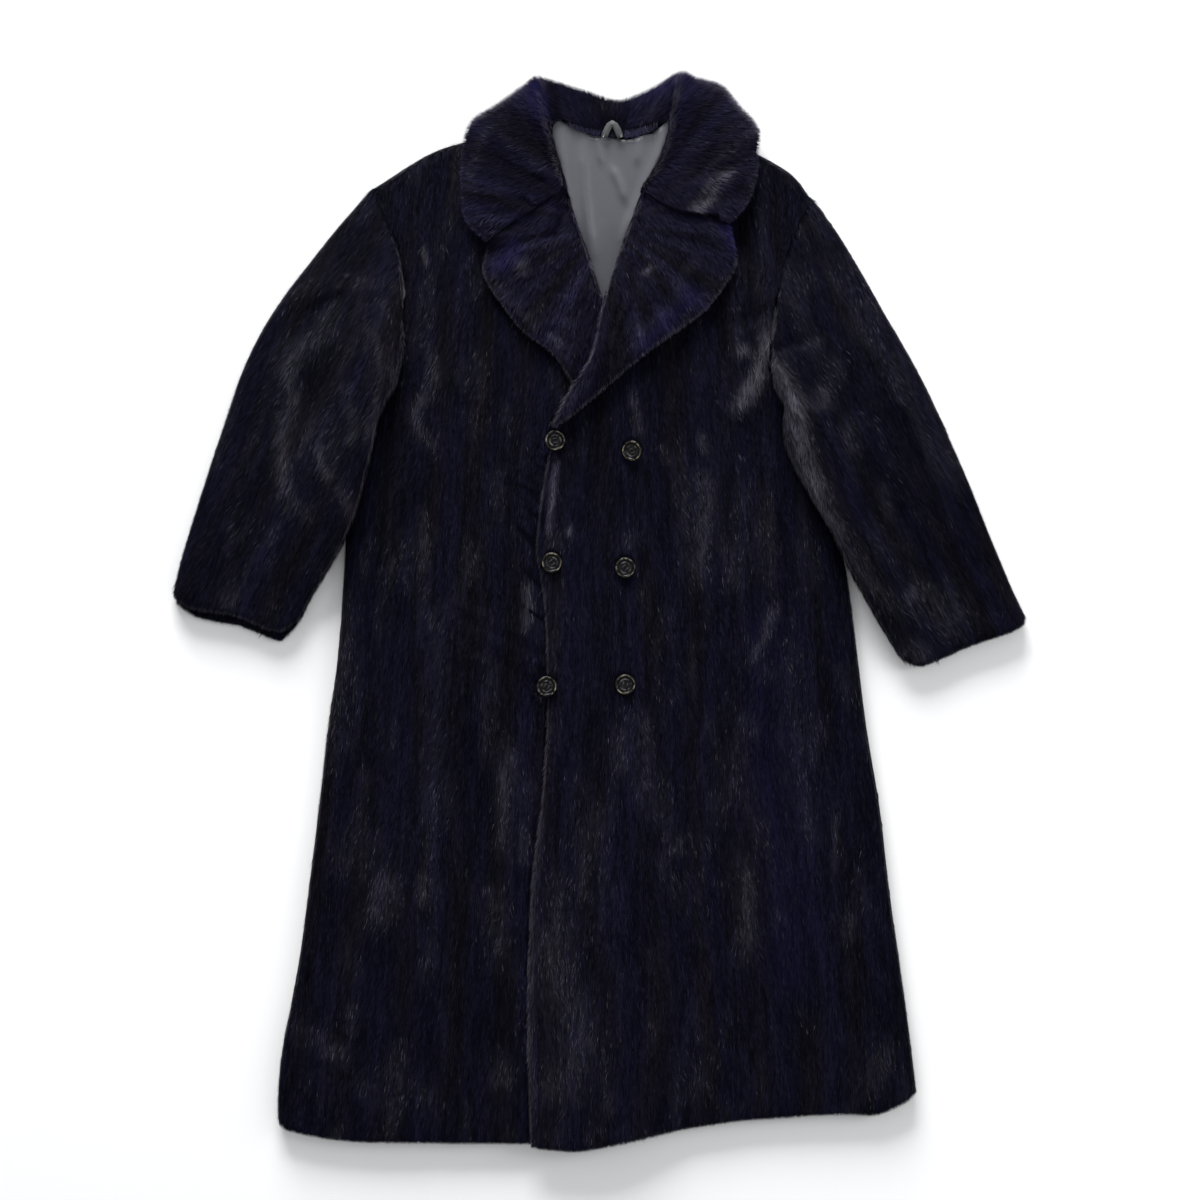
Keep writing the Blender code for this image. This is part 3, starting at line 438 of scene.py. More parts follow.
# Bluer spots: half width, strength and the line's points
BLUE_SPOTS = {
    "collar": [(9, 0.8, (-72, 630), (-64, 598)), (12, 0.4, (60, 622), (95, 636))],
    "lapel_left": [(10, 1.0, (152, 462), (163, 445)), (14, 0.35, (110, 380), (60, 330))],
    "lapel_right": [(12, 0.5, (-116, 420), (-100, 440))],
    "front_left": [(5, 0.16, (-53, 190), (-56, 110)), (34, 0.10, (200, -20), (230, -420))],
}


def unit(v):
    return v / np.maximum(np.linalg.norm(v, axis=-1, keepdims=True), 1e-12)


def dot(a, b):
    return (a * b).sum(-1, keepdims=True)


def between(share, value):
    """The least and, by a value from 0 to 1, up to as much more."""
    least, more = share
    return least + more * value


def chance(share, rng, count):
    return between(share, rng.random(count))


def hashed(i, j, k):
    """A number from 0 to 1 for each pair of whole numbers, by pattern k."""
    h = np.sin(i * 127.1 + j * 311.7 + k * 74.7) * 43758.5453
    return h - np.floor(h)


def noise(x, y, k):
    """Smooth noise from 0 to 1 over a plane with cells of 1 by 1, by pattern k."""
    i, j = np.floor(x), np.floor(y)
    u, v = x - i, y - j
    u, v = u * u * (3 - 2 * u), v * v * (3 - 2 * v)
    low = hashed(i, j, k) * (1 - u) + hashed(i + 1, j, k) * u
    high = hashed(i, j + 1, k) * (1 - u) + hashed(i + 1, j + 1, k) * u
    return low * (1 - v) + high * v


def pattern(across, along, cell):
    wide, long, k = cell
    return noise(across / wide, along / long, k)


def line_distance(x, y, line):
    """Distance of each point from a line, and how far along it the nearest place is, from 0 to 1."""
    best = np.full(x.shape, 1e9)
    along = np.zeros(x.shape)
    steps = len(line) - 1
    for k, ((ax, ay), (bx, by)) in enumerate(zip(line, line[1:])):
        dx, dy = bx - ax, by - ay
        t = np.clip(((x - ax) * dx + (y - ay) * dy) / (dx * dx + dy * dy), 0, 1)
        d = np.hypot(x - ax - t * dx, y - ay - t * dy)
        near = d < best
        best[near] = d[near]
        along[near] = ((k + t) / steps)[near]
    return best, along


def fade(t, ends):
    """1 along a line and less towards its ends."""
    slope, least = ends
    return np.clip(np.minimum(t, 1 - t) * slope + least, 0, 1)


def on_collar(node):
    return node == "collar" or node.startswith("lapel")


def fold_height(node, x, y):
    """How far the folds lift each point, in millimetres."""
    z = np.zeros(x.shape)
    for half_width, height, *line in FOLDS.get(node, ()):
        d, t = line_distance(x, y, line)
        height = height * (COLLAR_FOLDS if on_collar(node) else 1)
        z += height * fade(t, FOLD_ENDS) * np.exp(-((d / half_width) ** 2))
    return z


def nap(node, x, y):
    """The way the hair points, as the direction in the plane of the floor."""
    level = np.zeros(x.shape)
    if node.startswith("sleeve"):
        ax, ay = SLEEVE_AXIS[node.split("_")[1]]
        d = np.stack([np.full(x.shape, ax), np.full(x.shape, ay), level], -1)
    elif on_collar(node):
        d = np.stack([x - COLLAR_CENTRE[0], y - COLLAR_CENTRE[1] - COLLAR_NAP_RISE, level], -1)
        d = unit(d) + np.array(COLLAR_NAP_DROP)
        if node == "collar":
            a, b, c = NECK_SEAM
            stand = (y < b + c * (x - a) ** 2) & (np.abs(x - a) < STAND_HALF) & (y > STAND_LOWEST)
            d[stand] = (0, -1, 0)
    else:
        d = np.stack([x - NAP_APEX[0], y - NAP_APEX[1], level], -1)
    return unit(d)


def nap_place(node, x, y):
    """Places across and along the nap, in millimetres."""
    if node.startswith("sleeve"):
        ax, ay = SLEEVE_AXIS[node.split("_")[1]]
        return x * -ay + y * ax, x * ax + y * ay
    if on_collar(node):
        dx, dy = x - COLLAR_CENTRE[0], y - COLLAR_CENTRE[1]
        return np.arctan2(dx, dy) * COLLAR_ARC, np.hypot(dx, dy)
    return x / (NAP_APEX[1] - y) * NAP_APEX[1], -y


def read_mesh(mesh):
    """Points in millimetres and triangles of a mesh."""
    mesh.calc_loop_triangles()
    p = np.empty(len(mesh.vertices) * 3, np.float32)
    t = np.empty(len(mesh.loop_triangles) * 3, np.int32)
    mesh.vertices.foreach_get("co", p)
    mesh.loop_triangles.foreach_get("vertices", t)
    return p.reshape(-1, 3).astype(float) / MM, t.reshape(-1, 3)


def vertex_normals(p, t):
    a, b, c = p[t[:, 0]], p[t[:, 1]], p[t[:, 2]]
    face = np.cross(b - a, c - a)
    n = np.zeros(p.shape)
    for k in range(3):
        np.add.at(n, t[:, k], face)
    return unit(n)


def finer(p, t, bulge_most):
    """Cuts each triangle in four. A new point bulges out as far as the normals at its edge's ends say."""
    n = vertex_normals(p, t)
    edges = np.sort(np.concatenate([t[:, [0, 1]], t[:, [1, 2]], t[:, [2, 0]]]), axis=1)
    edges, place = np.unique(edges, axis=0, return_inverse=True)
    a, b = edges.T
    span = p[b] - p[a]
    bulge = (dot(span, n[b]) * n[b] - dot(span, n[a]) * n[a]) / 8
    size = np.linalg.norm(bulge, axis=1, keepdims=True)
    bulge *= np.minimum(1, bulge_most / np.maximum(size, 1e-9))
    middle = (p[a] + p[b]) / 2 + bulge
    ab, bc, ca = place.reshape(3, -1) + len(p)
    corners = [(t[:, 0], ab, ca), (ab, t[:, 1], bc), (ca, bc, t[:, 2]), (ab, bc, ca)]
    return np.concatenate([p, middle]), np.concatenate([np.stack(c, 1) for c in corners])


def fine_copy(node, level):
    """The node's own mesh, welded and cut finer, as points and triangles."""
    bm = bmesh.new()
    bm.from_mesh(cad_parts[node].data)
    bmesh.ops.remove_doubles(bm, verts=bm.verts, dist=WELD)
    bmesh.ops.triangulate(bm, faces=bm.faces)
    mesh = bpy.data.meshes.new(node + "_fine")
    bm.to_mesh(mesh)
    bm.free()
    p, t = read_mesh(mesh)
    bpy.data.meshes.remove(mesh)
    for _ in range(level):
        p, t = finer(p, t, COLLAR_BULGE_MOST if on_collar(node) else BULGE_MOST)
    return p, t


def smooth_height(p, t, rounds):
    """Evens out the height of each point with its neighbours', which leaves the outline as it is."""
    edges = np.concatenate([t[:, [0, 1]], t[:, [1, 2]], t[:, [2, 0]]])
    a = np.concatenate([edges[:, 0], edges[:, 1]])
    b = np.concatenate([edges[:, 1], edges[:, 0]])
    count = np.bincount(a, minlength=len(p))
    flat = np.abs(vertex_normals(p, t)[:, 2]) > SMOOTH_ABOVE
    for _ in range(rounds):
        mean = np.bincount(a, p[b, 2], minlength=len(p)) / count
        p[flat, 2] += 0.5 * (mean[flat] - p[flat, 2])
    return p


def tree_of(p, t):
    return BVHTree.FromPolygons([Vector(x) for x in p], t.tolist(), all_triangles=True)


def node_tree(node):
    return tree_of(*read_mesh(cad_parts[node].data))


def new_object(name, mesh, material):
    o = bpy.data.objects.new(name, mesh)
    bpy.context.scene.collection.objects.link(o)
    if material is not None:
        mesh.materials.append(material)
    return o


def mesh_of(name, p, t, smooth=True):
    """A mesh of points in millimetres and triangles."""
    mesh = bpy.data.meshes.new(name)
    mesh.vertices.add(len(p))
    mesh.vertices.foreach_set("co", (p * MM).astype(np.float32).ravel())
    mesh.loops.add(t.size)
    mesh.loops.foreach_set("vertex_index", t.astype(np.int32).ravel())
    mesh.polygons.add(len(t))
    mesh.polygons.foreach_set("loop_start", np.arange(0, t.size, 3, dtype=np.int32))
    mesh.polygons.foreach_set("loop_total", np.full(len(t), 3, np.int32))
    mesh.polygons.foreach_set("use_smooth", np.full(len(t), smooth))
    mesh.update(calc_edges=True)
    return mesh


def swell_height(node, x, y):
    """How far the soft unevenness of the pile lifts each point, in millimetres."""
    across, along = nap_place(node, x, y)
    height, wide, long = SWELLS.get(node, BODY_SWELLS)
    coarse, fine = SWELL_PATTERNS
    swell = noise(across / wide, along / long, coarse)
    swell = swell + noise(across / wide * FINE_SWELLS, along / long * FINE_SWELLS, fine) / 2
    return height * (swell - 0.75)


def surface_of(node):
    """The panel's fur surface with its folds: points, triangles and normals."""
    level = PANELS[node][0]
    p, t = fine_copy(node, level)
    p = smooth_height(p, t, SMOOTH_ROUNDS)
    p[:, 2] += fold_height(node, p[:, 0], p[:, 1])
    p[:, 2] += swell_height(node, p[:, 0], p[:, 1])
    p[:, 2] = np.maximum(p[:, 2], 0)
    for (x, y), radius, way in NUDGES.get(node, ()):
        share = np.exp(-(((p[:, 0] - x) ** 2 + (p[:, 1] - y) ** 2) / radius ** 2))
        p[:, :2] += share[:, None] * np.array(way)
    return p, t, vertex_normals(p, t)


def across_seam(point, normal, others, reach):
    """The way from this point of an edge to another panel's edge beside it, or None."""
    beside_least, above_most = SEAM_CLOSE
    for tree in others:
        found = tree.find_nearest(Vector(point), reach)[0]
        if found is None:
            continue
        off = np.array(found) - point
        beside, above = math.hypot(off[0], off[1]), abs(off[2])
        level = beside > above * SEAM_LEVEL or (beside > beside_least and above < above_most)
        facing = off[0] * normal[0] + off[1] * normal[1]
        if level and facing > SEAM_FACING * beside * math.hypot(*normal[:2]):
            return off
    return None


def close_seams(surfaces):
    """Brings the edges at each seam together and lifts them a little. Returns which points are on a seam."""
    trees = {node: tree_of(p, t) for node, (p, t, n) in surfaces.items()}
    on_seam = {}
    for node, (p, t, n) in surfaces.items():
        others = [trees[name] for name in SEWN[node]]
        reach = GORGE_REACH if on_collar(node) else SEAM_REACH
        moved = p.copy()
        on_seam[node] = np.zeros(len(p), bool)
        for i in np.flatnonzero(np.abs(n[:, 2]) < EDGE_BELOW):
            off = across_seam(p[i], n[i], others, reach)
            if off is not None:
                on_seam[node][i] = True
                moved[i, :2] += 0.5 * off[:2] + SEAM_LAP * unit(off[:2])
                moved[i, 2] += SEAM_RISE * max(0, n[i, 2])
        surfaces[node] = (moved, t, vertex_normals(moved, t))
    return on_seam


def skin_points(p, n, tree, on_seam):
    """The surface moved inwards, less where the wall is thin and at seams only downwards, and how far."""
    inset = np.full(len(p), SKIN_INSET)
    way = n.copy()
    way[on_seam, :2] = 0
    for i in range(len(p)):
        start = Vector(p[i] - n[i] * 0.05)
        wall = tree.ray_cast(start, Vector(-n[i]), WALL_MOST)[3]
        if wall is not None:
            inset[i] = min(SKIN_INSET, wall * SKIN_INSET_SHARE)
    return p - way * inset[:, None], inset


def is_free(start, way, reach, trees):
    return all(tree.ray_cast(start, way, reach)[0] is None for tree in trees)


def openness(p, t, n, trees):
    """1 for each triangle that shows and 0 where another piece lies on it, and how far each faces up."""
    centre = p[t].mean(1)
    face = unit(n[t].mean(1))
    up = face[:, 2]
    shown = np.ones(len(t))
    for i in range(len(t)):
        start = Vector(centre[i] + face[i] * 0.8)
        if up[i] > SEEN_ABOVE and is_free(start, UP, SKY_REACH, trees):
            continue
        way = unit(face[i] + np.array([0, 0, 0.4])) if up[i] > SEEN_ASIDE else face[i]
        shown[i] = is_free(start, Vector(way), COVER_REACH, trees)
    return shown, up


def scatter(surface, inset, shown, up, rng):
    """Random places on what shows: their triangle, point, normal and the skin's inset there."""
    p, t, n = surface
    a, b, c = p[t[:, 0]], p[t[:, 1]], p[t[:, 2]]
    area = np.linalg.norm(np.cross(b - a, c - a), axis=1) / 2
    expected = area * np.where(up > UNDERSIDE, HAIR_PER_MM2, HAIR_PER_MM2_BELOW) * shown
    total = int(expected.sum())
    pick = np.searchsorted(np.cumsum(expected), rng.random(total) * expected.sum())
    pick = np.minimum(pick, len(t) - 1)
    u, v = rng.random((2, total))
    u, v = np.where(u + v > 1, 1 - u, u), np.where(u + v > 1, 1 - v, v)
    w = np.stack([1 - u - v, u, v], -1)[:, :, None]
    at = (p[t[pick]] * w).sum(1)
    normal = unit((n[t[pick]] * w).sum(1))
    deep = (inset[t[pick]] * w[:, :, 0]).sum(1)
    return pick, at, normal, deep


def comb(node, at, normal, across, along, lit, rim, rng):
    """The way in which each hair lies on the surface, and the way across it."""
    flow = nap(node, at[:, 0], at[:, 1])
    flow = flow + normal * np.maximum(0, -dot(flow, normal))
    side = unit(np.cross(normal, unit(flow - normal * dot(flow, normal) + 1e-9)))
    lock_wide, lock_long, k = LOCKS
    turn = (hashed(np.floor(across / lock_wide), np.floor(along / lock_long), k) - 0.5) * LOCK_TURN
    turn += (pattern(across, along, WANDER) - 0.5) * WANDER_TURN
    turn += (pattern(across, along, RUFFLES) - 0.5) * RUFFLE_TURN * lit
    turn += (rng.random(len(at)) - 0.5) * (HAIR_TURN + RIM_TURN * rim)
    return unit(flow + side * turn[:, None]), side


def grow(node, surface, inset, on_seam, shown, up, trees, rng):
    """Roots, tips, half widths and colours of the panel's hairs."""
    pick, at, normal, deep = scatter(surface, inset, shown, up, rng)
    total = len(pick)
    long, wide, leaning = COLLAR_HAIR if on_collar(node) else BODY_HAIR
    length = long * chance(HAIR_LENGTHS, rng, total)
    width = wide * chance(HAIR_WIDTHS, rng, total)
    width[normal[:, 2] < UNDERSIDE] *= UNDER_HAIR_SIZE
    across, along = nap_place(node, at[:, 0], at[:, 1])
    lit, rim = light_share(node, at, across, along, normal, rng)
    rim[on_seam[surface[1][pick]].any(1)] = 0
    drop_seam_rim(node, at, rim, trees)
    lean = np.radians(leaning + LEAN_SPREAD * rng.random(total) + LIT_LEAN * lit)
    flow, side = comb(node, at, normal, across, along, lit, rim, rng)
    length *= 1 - OUTWARD_SHORTER * np.clip(dot(flow, normal)[:, 0], 0, 1)
    way = unit(flow * np.cos(lean)[:, None] + normal * np.sin(lean)[:, None])
    root = at - normal * deep[:, None]
    tip = held_in(node, trees, root, root + way * length[:, None], rng)
    roll = (rng.random(total) - 0.5) * ROLL
    half = side * np.cos(roll)[:, None] + np.cross(way, side) * np.sin(roll)[:, None]
    half *= (width / 2)[:, None]
    tone = colour(node, at[:, 0], at[:, 1], across, along, lit, rim, rng)
    keep = clear_of_buttons(root, tip)
    return root[keep], tip[keep], half[keep], tone[keep]


def clear_of_buttons(root, tip):
    keep = np.ones(len(root), bool)
    for x, y, _ in button_places():
        for q in (root, tip, (root + tip) / 2):
            keep &= np.hypot(q[:, 0] - x, q[:, 1] - y) > BUTTON_RADIUS + BUTTON_CLEAR
    return keep


def held_in(node, trees, root, tip, rng):
    """Shortens each hair whose tip would stand further outside the panel than the fringe does."""
    least, more = COLLAR_FRINGE if on_collar(node) else FRINGE
    allowed = least + more * rng.random(len(tip)) ** 2
    share = np.ones(len(tip))
    others = [trees[name] for name in SEWN[node]]
    for k in range(len(tip)):
        point = Vector(tip[k])
        at, normal, _, distance = trees[node].find_nearest(point)
        if distance > allowed[k] and (point - at).dot(normal) > 0:
            clear = is_free(point + UP, DOWN, SEAM_BELOW, others)
            limit = allowed[k] if clear else SEAM_FRINGE
            reach = np.linalg.norm(tip[k] - root[k])
            share[k] = min(1, max(HAIR_LEAST, 1 - (distance - limit) / reach))
    return root + (tip - root) * share[:, None]


def light_share(node, at, across, along, normal, rng):
    """How much painted highlight each hair has where it lies across the nap and catches the light, and its
    share of the painted rim sheen.
    """
    count, up = len(at), normal[:, 2]
    lit = np.zeros(count)
    # painted highlights along the partings
    for half_width, strength, *line in PARTINGS_AND_HIGHLIGHTS.get(node, ()):
        d, t = line_distance(at[:, 0], at[:, 1], line)
        near = np.exp(-((d / (half_width * LIT_WIDTH)) ** 2))
        lit = np.maximum(lit, strength ** LIT_POWER * fade(t, PARTING_ENDS) * near)
    # painted sheen in faint patches all over the pile, in the lit colour
    coarse, fine = (pattern(across, along, cell) for cell in SHEEN_PATCH_CELLS)
    sheen_patch = PAINTED_SHEEN * np.clip((coarse + fine / 2 - SHEEN_PATCH_STARTS) / SHEEN_PATCH_GROWS, 0, 1)
    lit = np.maximum(lit, sheen_patch) * (up > SEEN_ABOVE)
    fine, coarse = (pattern(across, along, cell) for cell in LIT_STREAKS)
    streak = fine * between(LIT_COARSE, coarse)
    spark = (rng.random(count) < SPARK_SHARE * lit) * chance(LIT_TONES, rng, count)
    lit = np.maximum(lit * between(LIT_STREAKED, streak) * chance(LIT_TONES, rng, count), spark)
    # painted rim sheen where the pile turns down at an edge
    steep = np.clip((RIM_STARTS - up) / RIM_GROWS, 0, 1) * (up > SEEN_ASIDE)
    return lit, steep * (rng.random(count) < RIM_SHARE)


def drop_seam_rim(node, at, rim, trees):
    """Only free edges have the painted rim sheen, not an edge with the next panel of the front close beside it.
    """
    beside = [trees[other] for other in SEWN[node] if other != "back" and not other.endswith("under")]
    for k in np.nonzero(rim)[0]:
        if any(tree.find_nearest(Vector(at[k]), RIM_GAP)[0] is not None for tree in beside):
            rim[k] = 0


def colour(node, x, y, across, along, lit, rim, rng):
    """Each hair's colour: blue-black pelts with a browner line down the middle of each."""
    count = len(x)
    line = across / PELT_WIDTH + (pattern(across, along, PELT_WANDER) - 0.5) * PELT_BEND
    middle = 0.5 + 0.5 * np.cos(2 * math.pi * line)
    patches = between(BROWN_SHARES, pattern(across, along, BROWN_PATCHES))
    brown = np.clip(BROWN_MOST * middle * patches, 0, 1)[:, None]
    base = np.array(COLLAR_NAVY if on_collar(node) else NAVY) * (1 - brown) + np.array(BROWN_BLACK) * brown
    fine, coarse = (pattern(across, along, cell) for cell in TONE_STREAKS)
    strength = between(PELT_TONES, hashed(np.floor(line), 0, PELTS))
    strength = strength * between(FINE_TONES, fine) * between(COARSE_TONES, coarse)
    tone = base * (strength * chance(HAIR_TONES, rng, count))[:, None]
    # painted glints on a few hairs
    glint = np.where(rng.random(count) < GLINT_SHARE, chance(GLINTS, rng, count), 0)
    rim = rim * chance(RIM_TONES, rng, count) * (1.0 if on_collar(node) else BODY_RIM)
    blue = np.zeros(count)
    for half_width, share, *line in BLUE_SPOTS.get(node, ()):
        d, _ = line_distance(x, y, line)
        blue = np.maximum(blue, share * np.exp(-((d / half_width) ** 2)))
    tone += (blue * chance(BLUE_TONES, rng, count))[:, None] * np.array(BLUE)
    # painted highlights and glints in the lit colour, and the painted rim sheen
    return tone + np.maximum(lit, glint)[:, None] * np.array(LIT) + rim[:, None] * np.array(PAINTED_RIM_SHEEN)


def paint(mesh, tones):
    """Gives each point of a mesh its own tone, which the material reads."""
    layer = mesh.color_attributes.new("tone", "FLOAT_COLOR", "POINT")
    layer.data.foreach_set("color", tones.astype(np.float32).ravel())


def hair_meshes(node, hairs, material):
    """The panel's hairs, a narrow triangle each, in as few meshes as their number allows."""
    root, tip, half, tone = hairs
    made = []
    chunks = max(1, math.ceil(len(root) / HAIRS_PER_MESH))
    order = np.argsort(-root[:, 1], kind="stable")
    for k, chosen in enumerate(np.array_split(order, chunks)):
        m = len(chosen)
        points = np.empty((m, 3, 3))
        points[:, 0] = root[chosen] - half[chosen]
        points[:, 1] = root[chosen] + half[chosen]
        points[:, 2] = tip[chosen]
        points[:, :, 2] = np.maximum(points[:, :, 2], FLOOR_CLEARANCE)
        name = f"{node}_hair" if chunks == 1 else f"{node}_hair_{k + 1}"
        mesh = mesh_of(name, points.reshape(-1, 3), np.arange(3 * m).reshape(-1, 3))
        shade = np.ones((m, 3, 4))
        # painted shade: each hair is darker towards its root
        shade[:, :, :3] = tone[chosen][:, None, :] * np.array(HAIR_ENDS_ROOT_SHADED)[None, :, None]
        paint(mesh, shade)
        made.append(new_object(name, mesh, material))
    return made


def node_material(name):
    m = bpy.data.materials.new(name)
    m.use_nodes = True
    nodes, links = m.node_tree.nodes, m.node_tree.links
    shader = nodes["Principled BSDF"]
    return m, nodes, links, shader


def painted_tone(nodes):
    tone = nodes.new("ShaderNodeAttribute")
    tone.attribute_name = "tone"
    return tone.outputs["Color"]


def hair_material(name, roughness, specular):
    m, nodes, links, shader = node_material(name)
    links.new(painted_tone(nodes), shader.inputs["Base Color"])
    shader.inputs["Roughness"].default_value = roughness
    shader.inputs["Specular IOR Level"].default_value = specular
    return m


def noise_material(name, tones, roughness, scale=5.0, detail=2.0, stretch=None, bump=None):
    """A colour between two tones by noise, stretched and in relief where asked. Returns it and its shader."""
    m, nodes, links, shader = node_material(name)
    grain = nodes.new("ShaderNodeTexNoise")
    grain.inputs["Scale"].default_value = scale
    grain.inputs["Detail"].default_value = detail
    ramp = nodes.new("ShaderNodeValToRGB")
    for element, tone in zip(ramp.color_ramp.elements, tones):
        element.color = (*tone, 1)
    links.new(grain.outputs["Fac"], ramp.inputs["Fac"])
    links.new(ramp.outputs["Color"], shader.inputs["Base Color"])
    if stretch is not None:
        place = nodes.new("ShaderNodeTexCoord")
        mapping = nodes.new("ShaderNodeMapping")
        mapping.inputs["Scale"].default_value = stretch
        links.new(place.outputs["Object"], mapping.inputs["Vector"])
        links.new(mapping.outputs["Vector"], grain.inputs["Vector"])
    if bump is not None:
        relief = nodes.new("ShaderNodeBump")
        relief.inputs["Distance"].default_value = bump
        links.new(grain.outputs["Fac"], relief.inputs["Height"])
        links.new(relief.outputs["Normal"], shader.inputs["Normal"])
    shader.inputs["Roughness"].default_value = roughness
    return m, shader


def skin_material():
    """Dense under-wool: dark, streaked along the nap."""
    m, shader = noise_material("under_wool", UNDER_WOOL, 0.9, detail=3, stretch=(420, 60, 200), bump=0.002)
    shader.inputs["Specular IOR Level"].default_value = 0.02
    return m


def satin_material(name, tones):
    m, shader = noise_material(name, tones, 0.38, scale=1500, stretch=(1, 0.15, 1), bump=0.0002)
    shader.inputs["Anisotropic"].default_value = 0.5
    shader.inputs["Sheen Weight"].default_value = 0.15
    return m


def horn_material():
    """Near-black horn; noise breaks its painted highlights into pale flecks where the tone is paler."""
    m, nodes, links, shader = node_material("horn_dark")
    place = nodes.new("ShaderNodeTexCoord")
    cloud = nodes.new("ShaderNodeTexNoise")
    cloud.inputs["Scale"].default_value = 260
    cloud.inputs["Detail"].default_value = 4
    ramp = nodes.new("ShaderNodeValToRGB")
    ramp.color_ramp.elements[0].position = 0.42
    ramp.color_ramp.elements[0].color = (0.03, 0.03, 0.03, 1)
    ramp.color_ramp.elements[1].position = 0.62
    ramp.color_ramp.elements[1].color = (1, 1, 1, 1)
    mix = nodes.new("ShaderNodeMix")
    mix.data_type = "RGBA"
    mix.blend_type = "MULTIPLY"
    mix.inputs["Factor"].default_value = 1
    links.new(place.outputs["Object"], cloud.inputs["Vector"])
    links.new(cloud.outputs["Fac"], ramp.inputs["Fac"])
    links.new(painted_tone(nodes), mix.inputs["A"])
    links.new(ramp.outputs["Color"], mix.inputs["B"])
    links.new(mix.outputs["Result"], shader.inputs["Base Color"])
    shader.inputs["Roughness"].default_value = 0.25
    shader.inputs["Specular IOR Level"].default_value = 0.18
    return m


def make_fur(materials):
    """Every panel's skin and hair. The hair grows only where no other piece lies on the panel."""
    rng = np.random.default_rng(SEED)
    surfaces = {node: surface_of(node) for node in PANELS}
    on_seam = close_seams(surfaces)
    trees = {node: tree_of(p, t) for node, (p, t, n) in surfaces.items()}
    covers = list(trees.values()) + [node_tree("lining"), node_tree("hanger_loop")]
    for node, (_, flat, area, below) in PANELS.items():
        slot = "fur_collar" if on_collar(node) else "fur"
        p, t, n = surfaces[node]
        inner, inset = skin_points(p, n, trees[node], on_seam[node])
        inner[:, 2] = np.maximum(inner[:, 2], FLOOR_CLEARANCE)
        skin = new_object(f"{node}_skin", mesh_of(f"{node}_skin", inner, t), materials["skin"])
        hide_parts(node)
        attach(skin, "root")
        shown, up = openness(p, t, n, covers)
        hairs = grow(node, surfaces[node], inset, on_seam[node], shown, up, trees, rng)
        made = hair_meshes(node, hairs, materials[slot])
        for o in made:
            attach(o, "root")


def make_lining(material):
    """The lining with soft folds down from the neck seam."""
    p, t = fine_copy("lining", 3)
    p = smooth_height(p, t, LINING_ROUNDS)
    x, y = p[:, 0], p[:, 1]
    p[:, 2] += fold_height("lining", x, y)
    start, length, most = LINING_RISE
    ripple, ripple_length = LINING_RIPPLE
    curve, middle = LINING_DIP
    pull, place, half_width = LINING_PULL
    rise = np.clip((y - start) / length, 0, 1) ** 2
    more = most + ripple * np.sin(x / ripple_length) + curve * (x - middle) ** 2
    p[:, 1] += rise * (more + pull * np.exp(-(((x - place) / half_width) ** 2)))
    o = new_object("lining_satin", mesh_of("lining_satin", p, t), material)
    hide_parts("lining")
    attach(o, "root")


def tube(line, section, scale):
    """A closed strip: its section, seen along the line, at each point of the line."""
    line = np.array(line, float)
    run = unit(np.gradient(line, axis=0))
    side = unit(np.cross(run, [0, 0, 1.0]))
    up = np.cross(side, run)
    section = np.array(section, float)
    k = len(section)
    beside = side[:, None] * (section[None, :, :1] * scale[:, None, None])
    p = line[:, None] + beside + up[:, None] * section[None, :, 1:]
    t = []
    for i in range(len(line) - 1):
        for j in range(k):
            a, b = i * k + j, i * k + (j + 1) % k
            t += [(a, b, b + k), (a, b + k, a + k)]
    last = (len(line) - 1) * k
    for j in range(1, k - 1):
        t += [(0, j + 1, j), (last, last + j, last + j + 1)]
    return p.reshape(-1, 3), np.array(t)


def join(parts):
    points, triangles, count = [], [], 0
    for p, t in parts:
        points.append(p)
        triangles.append(t + count)
        count += len(p)
    return np.concatenate(points), np.concatenate(triangles)


def round_section(radius, sides=8):
    turns = np.arange(sides) * 2 * math.pi / sides
    return [(radius * math.cos(a), radius * math.sin(a)) for a in turns]


def make_hanger_loop(satin, thread):
    """A satin ribbon, folded over itself along its length, with stitches across its feet."""
    below = node_tree("hanger_loop")
    line = []
    for x, y in LOOP_LINE:
        hit = below.ray_cast(Vector((x, y, 200)), DOWN)[0]
        line.append((x, y, hit.z - LOOP_DEEP if hit else line[-1][2]))
    scale = np.interp(np.linspace(0, 1, len(line)), *LOOP_WIDTHS)
    p, t = tube(line, LOOP_SECTION, scale)
    o = new_object("hanger_ribbon", mesh_of("hanger_ribbon", p, t), satin)
    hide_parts("hanger_loop")
    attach(o, "root")
    stitches = []
    for x, y, z in (line[0], line[-1]):
        for step in (-STITCH_STEP, 0, STITCH_STEP):
            at = (x + step, y + STITCH_RISE, z + STITCH_RISE)
            run = [(at[0], at[1] - STITCH_HALF, at[2] - 0.5), at, (at[0], at[1] + STITCH_HALF, at[2] - 0.3)]
            stitches.append(tube(run, round_section(STITCH_RADIUS), np.ones(3)))
    s = new_object("hanger_stitches", mesh_of("hanger_stitches", *join(stitches)), thread)
    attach(s, "root")


def button_places():
    """The middle of each button's solid, as x, y and z."""
    places = []
    for k in range(len(BUTTON_TILTS)):
        p, _ = read_mesh(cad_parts[f"button_{k + 1}"].data)
        places.append((p.min(0) + p.max(0)) / 2)
    return places


